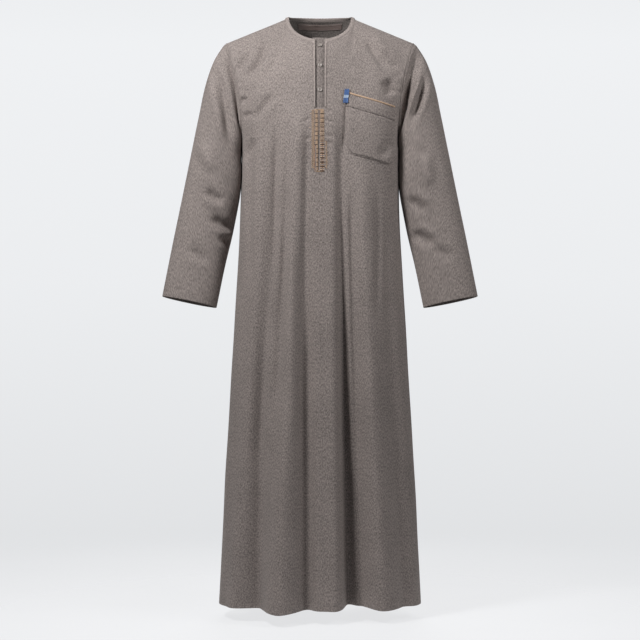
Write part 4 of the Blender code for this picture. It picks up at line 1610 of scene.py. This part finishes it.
@dataclass
class Placket:
    """The buttoned opening: the band that shows in the slot, its two folded edges and three buttons."""

    finishes: Finishes
    band_half_width: float = 0.016
    band_setback: float = 0.0034
    band_above_edge: float = 0.013
    band_below_slot: float = 0.008
    edge_width: float = 0.0036
    edge_rise: float = 0.001
    edge_flare: float = 0.9
    laid_on: float = 0.0009
    button_heights: tuple[float, ...] = (-0.0765, -0.128, -0.188)
    button_radius: float = 0.0052
    hole_reach_share: float = 0.2
    hole_radius: float = 0.00062
    button_thread_radius: float = 0.00045
    stitch_x: float = 0.0172
    fold_radius: float = 0.0011
    fold_depth: float = 0.006

    @property
    def slot_bottom(self) -> float:
        """Height of the lower end of the slot."""
        return ROBE.underarm + ROBE.slot_share * (self.slot_top - ROBE.underarm)

    @property
    def slot_top(self) -> float:
        """Height of the neckline beside the slot."""
        return -ROBE.neck_front_drop * float(ROBE.neck_share(np.array(ROBE.slot_half_width)))

    def band(self) -> None:
        """Builds the band, creased a little between its buttons, with its top folded over."""
        half = ROBE.across_of(self.band_half_width)
        across = np.linspace(-half, half, 25)
        low, high = self.slot_bottom - self.band_below_slot, self.slot_top + self.band_above_edge
        height = np.linspace(low, high, 76)
        x = (across * QUARTER * ROBE.chest_half_width)[:, None] + np.zeros_like(height)
        level = height[None, :] + np.zeros_like(x)
        creases = (
            Crease(-0.001, -0.084, 0.01, -0.112, -0.0009, 0.003),
            Crease(-0.01, -0.15, 0.006, -0.16, -0.0006, 0.0034),
            Crease(0.0, -0.134, 0.001, -0.18, 0.0005, 0.004),
        )
        rise = crease_rise(creases, x, level)
        for button in self.button_heights:
            rise -= 0.0006 * np.exp(-((x**2 + (level - button) ** 2) / 0.005**2))
        points = FRONT.surface(across[:, None], height[None, :], rise - self.band_setback)
        normals = grid_normals(points, 1)
        up = np.array([0.0, 0.0, 1.0])
        top = turn_in(points[:, -1], normals[:, -1], up, self.fold_radius, self.fold_depth)
        # The band takes the darker copy of the cloth: painted shade of its recess.
        piece = ClothPiece("placket_band", ("placket_band",), "taupe_chambray", self.finishes.placket, points)
        piece.turned = np.concatenate([points, np.stack(top, axis=1)], axis=1)
        piece.wall = 0.0009
        work = ThreadWork("placket_stitches", self.finishes.sewing_thread)
        levels = np.linspace(self.slot_bottom + STITCH_INSET, self.slot_top - STITCH_INSET, 60)
        for x_line in (-self.stitch_x, self.stitch_x):
            work.sew(FRONT, np.full(60, ROBE.across_of(x_line)), levels, 0.0001)
        bottom = np.linspace(ROBE.across_of(-0.0115), ROBE.across_of(0.0115), 20)
        work.sew(FRONT, bottom, np.full(20, self.slot_bottom - 0.0022), 0.0001)
        piece.build([work.build()])

    def edges(self) -> None:
        """Builds the folded edges, each a soft rounded ridge along a side of the slot."""
        near = ROBE.slot_half_width - 0.0002
        for hand in Hand:
            turn = np.linspace(0, 2 * math.pi, 15)
            out = self.laid_on - 0.0002 + np.sin(turn) * self.edge_rise
            height = np.linspace(self.slot_bottom + 0.0006, self.slot_top + 0.0012, 70)
            wave = 0.00015 * np.sin(height * 420 + hand.value)[None, :]
            flare = 1 + self.edge_flare * np.exp(-(((height - height[-1]) / 0.005) ** 2))
            x = near + (1 + np.cos(turn))[:, None] * self.edge_width / 2 * flare
            across = np.arcsin(x / ROBE.chest_half_width) / QUARTER * hand.value
            points = FRONT.surface(across, height[None, :], out[:, None] + wave)
            name = f"placket_edge_{hand.name.lower()}"
            # Each edge takes the lighter copy of the cloth: painted highlight on its fold.
            piece = ClothPiece(name, (name,), "taupe_binding", self.finishes.binding, points)
            piece.facing, piece.closed = tube_facing(points), True
            piece.wall, piece.held = 0.0005, "folded"
            piece.build()

    def button(self, number: int, height: float) -> None:
        """Builds one four-hole button, dished inside a rounded rim, with its cross of thread.

        Args:
            number: the button's number, from the top.
            height: height of its middle.
        """
        rim = ((0.0, 0.02), (0.6, 0.02), (0.86, 0.06), (0.98, 0.16), (1.0, 0.28), (0.96, 0.4), (0.86, 0.47))
        dish = ((0.76, 0.46), (0.66, 0.4), (0.58, 0.31), (0.44, 0.27), (0.2, 0.26), (0.0, 0.26))
        mesh = bmesh.new()
        verts = [mesh.verts.new((r, 0, z)) for r, z in (*rim, *dish)]
        edges = [mesh.edges.new(pair) for pair in zip(verts, verts[1:])]
        spin = {"axis": (0, 0, 1), "angle": 2 * math.pi, "steps": 40, "use_merge": True}
        bmesh.ops.spin(mesh, geom=[*verts, *edges], cent=(0, 0, 0), **spin)
        bmesh.ops.remove_doubles(mesh, verts=mesh.verts[:], dist=0.0001)
        bmesh.ops.recalc_face_normals(mesh, faces=mesh.faces[:])
        place = FRONT.place(0.0, height, 0.0002 - self.band_setback)
        scale = Matrix.Diagonal((*(self.button_radius,) * 3, 1.0))
        made = new_object(f"button_{number}", mesh, self.finishes.resin)
        made.data.transform(scale)
        self.pierce(made)
        made.data.transform(place)
        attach(made, "root")
        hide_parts(f"button_{number}")
        work = ThreadWork(f"button_thread_{number}", self.finishes.sewing_thread)
        reach = self.hole_reach_share * self.button_radius
        for turn in (1, -1):
            ends = [place @ Vector((s * reach, s * turn * reach, 0.31 * self.button_radius)) for s in (-1, 1)]
            work.thread(*ends, place.to_3x3() @ Vector((0, 0, 1)), self.button_thread_radius)
        work.build()

    def pierce(self, button: Object) -> None:
        """Cuts the four holes through a button that lies at the origin.

        Args:
            button: the button, changed in place.
        """
        cutter = bmesh.new()
        reach, radius = self.hole_reach_share * self.button_radius, self.hole_radius
        for x, y in ((1, 1), (1, -1), (-1, 1), (-1, -1)):
            place = Matrix.Translation((x * reach, y * reach, 0.001))
            size = {"segments": 12, "radius1": radius, "radius2": radius, "depth": 0.01}
            bmesh.ops.create_cone(cutter, cap_ends=True, matrix=place, **size)
        tool = new_object("hole_cutter", cutter, self.finishes.resin)
        cut = button.modifiers.new("holes", "BOOLEAN")
        cut.operation, cut.solver, cut.object = "DIFFERENCE", "EXACT", tool
        bpy.context.view_layer.update()
        cut_button = button.evaluated_get(bpy.context.evaluated_depsgraph_get())
        cleaned = bpy.data.meshes.new_from_object(cut_button)
        button.modifiers.clear()
        button.data = cleaned
        bpy.data.objects.remove(tool)

    def build(self) -> None:
        """Builds the band, the edges and the buttons."""
        self.band()
        self.edges()
        for number, height in enumerate(self.button_heights, start=1):
            self.button(number, height)
            LOG.info("button_%d at height %.3f", number, height)


@dataclass
class ChestPocket:
    """The slanted chest pocket: tan piping, a deep band, a bag with cut-off corners and a blue tab."""

    finishes: Finishes
    inner: float = 0.058
    outer: float = 0.182
    top: float = -0.191
    slant: float = 0.243
    height: float = 0.147
    band_height: float = 0.036
    piping_height: float = 0.0042
    corner_width: float = 0.02
    corner_height: float = 0.026
    laid_on: float = 0.0016
    label_width: float = 0.0125
    label_height: float = 0.034
    label_above: float = 0.004
    fine_share: float = 0.05
    pucker: float = 0.0011
    pucker_width: float = 0.0011
    stitch_inset: float = 0.0022
    wall: float = 0.0009

    def line(self, x: Array) -> Array:
        """Height of the pocket's top edge at an X."""
        return self.top - self.slant * (x - self.inner)

    def across(self, count: int) -> tuple[Array, Array]:
        """Across coordinates over the pocket's width, and X for each.

        Args:
            count: about how many coordinates there are.

        Returns:
            The across coordinates, and X for each.
        """
        edge = count // 6
        share = steps((0, 0), (self.fine_share, edge), (1 - self.fine_share, count - 1 - 2 * edge), (1, edge))
        low, high = ROBE.across_of(self.inner), ROBE.across_of(self.outer)
        across = low + (high - low) * share
        return across, ROBE.chest_half_width * np.sin(across * QUARTER)

    def laid(self, across: Array, low: Array, high: Array, rows: int, puff: float) -> Array:
        """Points of a piece laid on the front between two edges, a little fuller in its middle.

        Args:
            across: across coordinate of each column.
            low: height of the lower edge at each column.
            high: height of the upper edge at each column.
            rows: how many rows of faces it has.
            puff: how far its middle stands off the front.

        Returns:
            The points of its outer face.
        """
        share = steps((0, 0), (self.fine_share, rows // 6), (1, rows - rows // 6))
        height = low[:, None] + (high - low)[:, None] * share
        wide = ((across - across[0]) / (across[-1] - across[0]))[:, None]
        bulge = (np.clip(4 * wide * (1 - wide), 0, 1) * np.clip(4 * share * (1 - share), 0, 1)) ** 0.5
        edge = np.minimum(np.minimum(wide, 1 - wide) * 30, share * 20)
        rolled = -0.0006 * (1 - smooth_step(edge))
        from_side = np.minimum(wide, 1 - wide) * (self.outer - self.inner)
        from_edge = np.minimum(from_side, height - low[:, None]) + np.zeros_like(height)
        pulled = self.pucker * np.exp(-(((from_edge - self.stitch_inset) / self.pucker_width) ** 2))
        return FRONT.surface(across[:, None], height, self.laid_on + puff * bulge + rolled - pulled)

    def bottom(self, x: Array) -> Array:
        """Height of the bag's lower edge, with its corners cut off.

        Args:
            x: X of each place along it.

        Returns:
            The height at each X.
        """
        from_edge = np.minimum(x - self.inner, self.outer - x)
        cut = np.clip(1 - from_edge / self.corner_width, 0, 1) ** 1.5
        return self.line(x) - self.height + self.corner_height * cut

    def cloth(self) -> None:
        """Builds the band and the bag, with the stitches that hold them."""
        across, x = self.across(49)
        top = self.line(x) - self.piping_height
        seam = self.line(x) - self.band_height
        band = self.laid(across, seam, top - 0.0003, 14, 0.0008)
        bag = self.laid(across, self.bottom(x), seam - 0.0006, 46, 0.0022)
        # The pocket stitches are darkened: painted shade along the pocket's outline.
        work = ThreadWork("pocket_stitches", self.finishes.dark_thread)
        out = self.laid_on + 0.0001
        work.sew(FRONT, across[1:-1], self.bottom(x)[1:-1] + self.stitch_inset, out + 0.0003)
        work.sew(FRONT, across[1:-1], seam[1:-1] + 0.0018, out + 0.0005)
        for column, inwards in ((0, self.stitch_inset), (-1, -self.stitch_inset)):
            line = ROBE.across_of(x[column] + inwards)
            low, high = self.bottom(x)[column] + STITCH_INSET, top[column] - STITCH_INSET
            levels = np.linspace(low, high, 50)
            work.sew(FRONT, np.full(50, line), levels, out)
        piece = ClothPiece("pocket_band", ("pocket_band",), "taupe_chambray", self.finishes.cloth, band)
        piece.wall, piece.held = self.wall, "laid"
        piece.build()
        piece = ClothPiece("pocket_bag", ("pocket_bag",), "taupe_chambray", self.finishes.cloth, bag)
        piece.wall, piece.held = self.wall, "laid"
        piece.build([work.build()])

    def piping(self) -> None:
        """Builds the tan piping, a folded strip along the top edge."""
        across, x = self.across(60)
        turn = np.linspace(0, 2 * math.pi, 15)
        middle = self.line(x) - self.piping_height / 2
        height = middle[None, :] + np.cos(turn)[:, None] * self.piping_height / 2
        wave = 0.00012 * np.sin(x * 900)[None, :]
        out = self.laid_on + 0.0004 + np.sin(turn)[:, None] * 0.0011 + wave
        points = FRONT.surface(across[None, :], height, out)
        piece = ClothPiece("pocket_piping", ("pocket_piping",), "tan_piping", self.finishes.piping, points)
        piece.facing, piece.closed = tube_facing(points), True
        piece.wall, piece.held = 0.0005, "folded"
        piece.build()

    def label(self) -> None:
        """Builds the plain blue tab, a loop of tape caught under the piping's inner end."""
        low, high = (ROBE.across_of(self.inner - 0.003 + add) for add in (0.0, self.label_width))
        across = np.linspace(low, high, 14)
        share = np.linspace(0, 1, 30)
        height = self.top + self.label_above - self.label_height * (1 - share)
        skew = 0.01 * (share - 0.5)[None, :]
        curl = 0.0006 * np.cos(share * 3 * math.pi)[None, :] + 0.0006 * np.linspace(-1, 1, 14)[:, None] ** 2
        points = FRONT.surface(across[:, None] + skew, height[None, :], self.laid_on + 0.0024 + curl)
        work = ThreadWork("label_stitches", self.finishes.sewing_thread, "blue_label")
        for level in (height[-1] - STITCH_INSET, height[0] + STITCH_INSET):
            line = ROBE.across_of(self.inner + self.label_width / 2 - 0.003)
            spread = np.linspace(-0.016, 0.016, 10) + line
            work.sew(FRONT, spread, np.full(10, level), self.laid_on + 0.0032)
        piece = ClothPiece("label_tab", ("label_tab",), "blue_label", self.finishes.label, points)
        piece.wall, piece.held = 0.0006, "laid"
        piece.build([work.build()])

    def build(self) -> None:
        """Builds every piece of the pocket."""
        self.cloth()
        self.piping()
        self.label()


class Motif(Enum):
    """What fills a cell of the embroidered ladder on its wide side."""

    SATIN = 0
    EYELETS = 1
    BARS = 2


@dataclass
class Embroidery:
    """The embroidered ladder below the placket, worked in tan, rust and brown round a short slit."""

    finishes: Finishes
    top: float = -0.2363
    cell: float = 0.01038
    narrow: tuple[float, float] = (-0.0131, -0.0044)
    wide: tuple[float, float] = (-0.0008, 0.011)
    slit_top_x: float = -0.0022
    slit_lean: float = 0.0024
    chain_x: float = -0.0167
    out: float = 0.0003
    full_cells: int = 8
    satin_rows: int = 4
    satin_pitch: float = 0.002
    satin_radius: float = 0.001
    rung_radius: float = 0.0011
    rung_rise: float = 0.0005
    chain_pitch: float = 0.0046
    loose_ends: tuple[tuple[float, float, float], ...] = (
        (-0.0245, -0.279, 0.006),
        (-0.0222, -0.246, 0.0046),
        (-0.0226, -0.31, 0.0034),
    )
    cells: tuple[Motif, ...] = (
        *(Motif.SATIN,) * 3,
        *(Motif.EYELETS,) * 4,
        *(Motif.BARS,) * 7,
    )

    def __post_init__(self) -> None:
        """Starts one mesh for each colour of thread."""
        names = ("tan", "rust", "brown", "slit")
        threads = (self.finishes.tan_thread, self.finishes.rust_thread, self.finishes.brown_thread)
        threads = (*threads, self.finishes.slit_shade)
        self.work = {n: ThreadWork(f"embroidery_{n}", t, "tan_piping") for n, t in zip(names, threads)}

    @property
    def bottom(self) -> float:
        """Height of the ladder's lower end."""
        return self.top - self.cell * len(self.cells)

    def bar(
        self, colour: str, x: tuple[float, float], height: float, radius: float, rise: float = 0.0
    ) -> None:
        """Lays a stitch across the ladder.

        Args:
            colour: the thread's colour.
            x: X of its two ends.
            height: its height.
            radius: half its width.
            rise: how far it lies above the rest.
        """
        place = FRONT.place(sum(x) / 2, height, self.out + rise)
        half = (x[1] - x[0]) / 2 - radius
        ends = [place @ Vector((s * half, 0, 0)) for s in (-1, 1)]
        self.work[colour].thread(*ends, place.to_3x3() @ Vector((0, 0, 1)), radius)

    def post(self, colour: str, x: float, z: tuple[float, float], radius: float, rise: float = 0.0) -> None:
        """Lays a stitch down the ladder.

        Args:
            colour: the thread's colour.
            x: its X.
            z: heights of its two ends.
            radius: half its width.
            rise: how far it lies above the rest.
        """
        ends = [FRONT.place(x, level, self.out + rise).to_translation() for level in z]
        normal = FRONT.place(x, sum(z) / 2).to_3x3() @ Vector((0, 0, 1))
        self.work[colour].thread(*ends, normal, radius)

    def loop(self, colour: str, x: float, height: float, size: tuple[float, float]) -> None:
        """Lays a ring of thread."""
        place = FRONT.place(x, height, self.out + 0.0003)
        self.work[colour].put(self.work[colour].ring, place, (*size, sum(size) / 2))

    def satin(self, lefts: Sequence[float], right: float, height: float) -> None:
        """Lays tan satin stitch in a cell, a row for each left end, from the top down.

        Args:
            lefts: X of each row's left end.
            right: X of every row's right end.
            height: height of the cell's middle.
        """
        for row, left in enumerate(lefts):
            level = height + (1.5 - row) * self.satin_pitch
            self.bar("tan", (left, right), level, self.satin_radius)

    def rung(self, left: float, right: float, height: float) -> None:
        """Lays the brown bar along the lower edge of a cell whose middle is at a height."""
        self.bar("brown", (left, right), height - self.cell / 2, self.rung_radius, self.rung_rise)

    def narrow_cell(self, number: int, height: float) -> None:
        """Works a cell on the narrow side: all satin above, a block and a rust post below.

        Args:
            number: the cell's number, from the top.
            height: height of its middle.
        """
        left, right = self.narrow
        if number < self.full_cells:
            trims = [0.0012 * ((row + number) % 2) for row in range(self.satin_rows)]
            self.satin([left + trim for trim in trims], right, height)
            self.rung(left, right, height)
            return
        self.satin([right - 0.0052] * self.satin_rows, right, height)
        self.rung(left + 0.003, right, height)
        self.post("rust", left + 0.0008, (height - self.cell * 0.48, height + self.cell * 0.48), 0.00085)

    def wide_cell(self, motif: Motif, height: float) -> None:
        """Works a cell on the wide side with its own motif.

        Args:
            motif: what fills it.
            height: height of its middle.
        """
        left, right = self.wide
        third = (right - left) / 2
        if motif is Motif.SATIN:
            self.satin([left] * self.satin_rows, right, height)
        elif motif is Motif.EYELETS:
            for part in (0, 1):
                self.loop("tan", left + third * (part + 0.5), height, (0.0020, 0.0024))
            for rise in (-1, 1):
                self.bar("tan", (left, right), height + rise * 0.0042, 0.0008)
        else:
            for row in range(2):
                level = height + (0.5 - row) * 0.0048
                self.bar("tan", (left, left + third + 0.0006), level, 0.0014)
                self.bar("tan", (left + third + 0.0016, right), level, 0.0011)
                self.post("rust", left + third + 0.0012, (level - 0.001, level + 0.001), 0.0006, 0.0004)
        self.rung(left, right, height)

    def borders(self) -> None:
        """Works the chains of loops beside the ladder, the top bar and a few loose ends."""
        bottom = self.bottom
        count = int((self.top - bottom) * 0.96 / self.chain_pitch)
        for number in range(count):
            level = self.top - 0.003 - number * self.chain_pitch
            self.loop("tan", self.chain_x, level, (0.0027, 0.0016))
        for number in range(18):
            shift = 0.0012 * (number % 2)
            self.loop("tan", 0.0140 + shift, -0.3130 - number * 0.0036, (0.0012, 0.0015))
        for number in range(9):
            self.bar("tan", (0.0165, 0.0195), -0.3350 - number * 0.0040, 0.0006)
        self.bar("tan", (self.chain_x, self.wide[1]), self.top, 0.0010)
        self.bar("tan", (self.narrow[0], self.wide[1] - 0.002), bottom - 0.001, 0.0012)
        for x, z, length in self.loose_ends:
            self.bar("tan", (x - length / 2, x + length / 2), z, 0.0006)

    def slit(self) -> None:
        """Works the dark slit down the middle, leaning a little; the near-black of its middle posts is
        painted shade.
        """
        levels = np.linspace(self.top - 0.001, self.bottom + 0.001, 13)
        lean = self.slit_top_x - self.slit_lean * np.linspace(0, 1, 13)
        for number, (x, high, low) in enumerate(zip(lean, levels, levels[1:])):
            # The middle posts take the near-black colour: painted shade of the opening.
            colour = "slit" if 4 < number < 10 else "brown"
            self.post(colour, float(x), (float(high), float(low)), 0.0011, -0.0004)

    def build(self) -> None:
        """Works the whole panel of embroidery."""
        for number, motif in enumerate(self.cells):
            height = self.top - self.cell * (number + 0.5)
            self.narrow_cell(number, height)
            self.wide_cell(motif, height)
        self.borders()
        self.slit()
        for work in self.work.values():
            work.build()


class Lamp(NamedTuple):
    """A soft area light: where it hangs, the point it faces, its width and height, and its power in watts."""

    name: str
    place: tuple[float, float, float]
    aim: tuple[float, float, float]
    size: tuple[float, float]
    power: float


@dataclass
class Studio:
    """A pale floor, a pale backdrop, soft lights and the camera."""

    finishes: Finishes
    distance: float = 4.5
    eye_height: float = -0.7325
    lens: float = 104.29
    floor_gap: float = 0.03
    floor_radius: float = 2.6
    horizon: tuple[float, float] = (-0.16, 0.2)
    fill_strength: float = 0.03
    tones: tuple[tuple[float, float], ...] = (
        (0.0, 0.8),
        (0.13, 0.765),
        (0.28, 0.8),
        (0.5, 0.85),
        (0.85, 0.88),
        (1.0, 0.84),
    )
    tint: tuple[float, float] = (0.985, 1.02)
    lamps: tuple[Lamp, ...] = (
        Lamp("key", (-0.98, -1.20, 0.72), (0.0, 0.0, -0.32), (0.40, 0.40), 45),
        Lamp("right_fill", (1.45, -0.95, 0.42), (0.0, 0.0, -0.28), (0.8, 0.8), 19),
        Lamp("back_fill", (0.3, 3.4, 0.6), (0.0, 0.0, -0.7), (2.2, 2.2), 46),
    )

    def floor(self) -> None:
        """Builds the floor just below the hem."""
        mesh = bmesh.new()
        bmesh.ops.create_circle(mesh, cap_ends=True, segments=96, radius=self.floor_radius)
        made = new_object("studio_floor", mesh, self.finishes.floor)
        low = CAD_BOX[0].z - self.floor_gap
        made.data.transform(Matrix.Translation((0, 0, low)))

    def light(self, lamp: Lamp) -> None:
        """Hangs one soft area light.

        Args:
            lamp: the light's place, aim, size and power.
        """
        data = bpy.data.lights.new(lamp.name, "AREA")
        data.shape, data.size, data.size_y, data.energy = "RECTANGLE", *lamp.size, lamp.power
        made = bpy.data.objects.new(lamp.name, data)
        made.location = lamp.place
        way = Vector(lamp.aim) - Vector(lamp.place)
        made.rotation_euler = way.to_track_quat("-Z", "Y").to_euler()
        bpy.context.scene.collection.objects.link(made)

    def tinted(self, tone: float) -> tuple[float, float, float, float]:
        """A tone of the backdrop, a little blue."""
        red, blue = self.tint
        return (tone * red, tone, tone * blue, 1)

    def backdrop(self) -> None:
        """Sets a pale backdrop that is brightest behind the robe, and a softer light from all round."""
        world = bpy.data.worlds.new("backdrop")
        bpy.context.scene.world = world
        world.use_nodes = True
        tree = world.node_tree
        tree.nodes.clear()
        out = tree.nodes.new("ShaderNodeOutputWorld")
        mix = tree.nodes.new("ShaderNodeMixShader")
        seen, fill = (tree.nodes.new("ShaderNodeBackground") for _ in range(2))
        ray = tree.nodes.new("ShaderNodeLightPath")
        place = tree.nodes.new("ShaderNodeTexCoord")
        split = tree.nodes.new("ShaderNodeSeparateXYZ")
        ramp = tree.nodes.new("ShaderNodeValToRGB")
        reach = tree.nodes.new("ShaderNodeMapRange")
        reach.inputs[1].default_value, reach.inputs[2].default_value = self.horizon
        fill.inputs[0].default_value = (0.96, 0.98, 1.0, 1.0)
        fill.inputs[1].default_value = self.fill_strength
        elements = ramp.color_ramp.elements
        for element, (position, tone) in zip((elements[0], elements[1]), (self.tones[0], self.tones[-1])):
            element.position, element.color = position, self.tinted(tone)
        for position, tone in self.tones[1:-1]:
            elements.new(position).color = self.tinted(tone)
        for source, target in (
            (place.outputs["Generated"], split.inputs[0]),
            (split.outputs[2], reach.inputs[0]),
            (reach.outputs[0], ramp.inputs[0]),
            (ramp.outputs[0], seen.inputs[0]),
            (ray.outputs["Is Camera Ray"], mix.inputs[0]),
            (fill.outputs[0], mix.inputs[1]),
            (seen.outputs[0], mix.inputs[2]),
            (mix.outputs[0], out.inputs[0]),
        ):
            tree.links.new(source, target)

    def camera(self) -> None:
        """Sets the camera level with the middle of the robe."""
        data = bpy.data.cameras.new("camera")
        data.lens, data.sensor_width = self.lens, 36
        made = bpy.data.objects.new("camera", data)
        made.location = (0, -self.distance, self.eye_height)
        made.rotation_euler = (QUARTER, 0, 0)
        bpy.context.scene.collection.objects.link(made)
        bpy.context.scene.camera = made

    def build(self) -> None:
        """Builds the studio."""
        bpy.context.scene.view_settings.view_transform = "Standard"
        self.floor()
        self.backdrop()
        for lamp in self.lamps:
            self.light(lamp)
        self.camera()


def check_form() -> None:
    """Compares the form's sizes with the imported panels, and warns where they differ."""
    for name, form in (("front_panel", FRONT), ("back_panel", BACK)):
        across = np.linspace(-1, 1, 201)[:, None]
        levels = np.linspace(ROBE.hem, ROBE.underarm, 60)[None, :]
        points = form.surface(across, levels).reshape(-1, 3)
        (low, _), (_, high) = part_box(f"{name}_skirt"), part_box(f"{name}_top")
        sides = max(abs(points[:, 0].min() - low.x), abs(points[:, 0].max() - high.x))
        gap = max(sides, abs(points[:, 2].min() - low.z))
        level = logging.INFO if gap < FORM_TOLERANCE else logging.WARNING
        LOG.log(level, "%s is within %.1f mm of its frame node", name, gap * 1000)


def main() -> None:
    """Builds the robe piece by piece, then its studio."""
    logging.basicConfig(level=logging.INFO, format="%(name)s: %(message)s")
    check_form()
    finishes = Finishes()
    Panels(finishes).build()
    for hand in Hand:
        Sleeve(finishes, hand).build()
    Neck(finishes).build()
    Placket(finishes).build()
    ChestPocket(finishes).build()
    Embroidery(finishes).build()
    Studio(finishes).build()


if __name__ == "__main__":
    main()
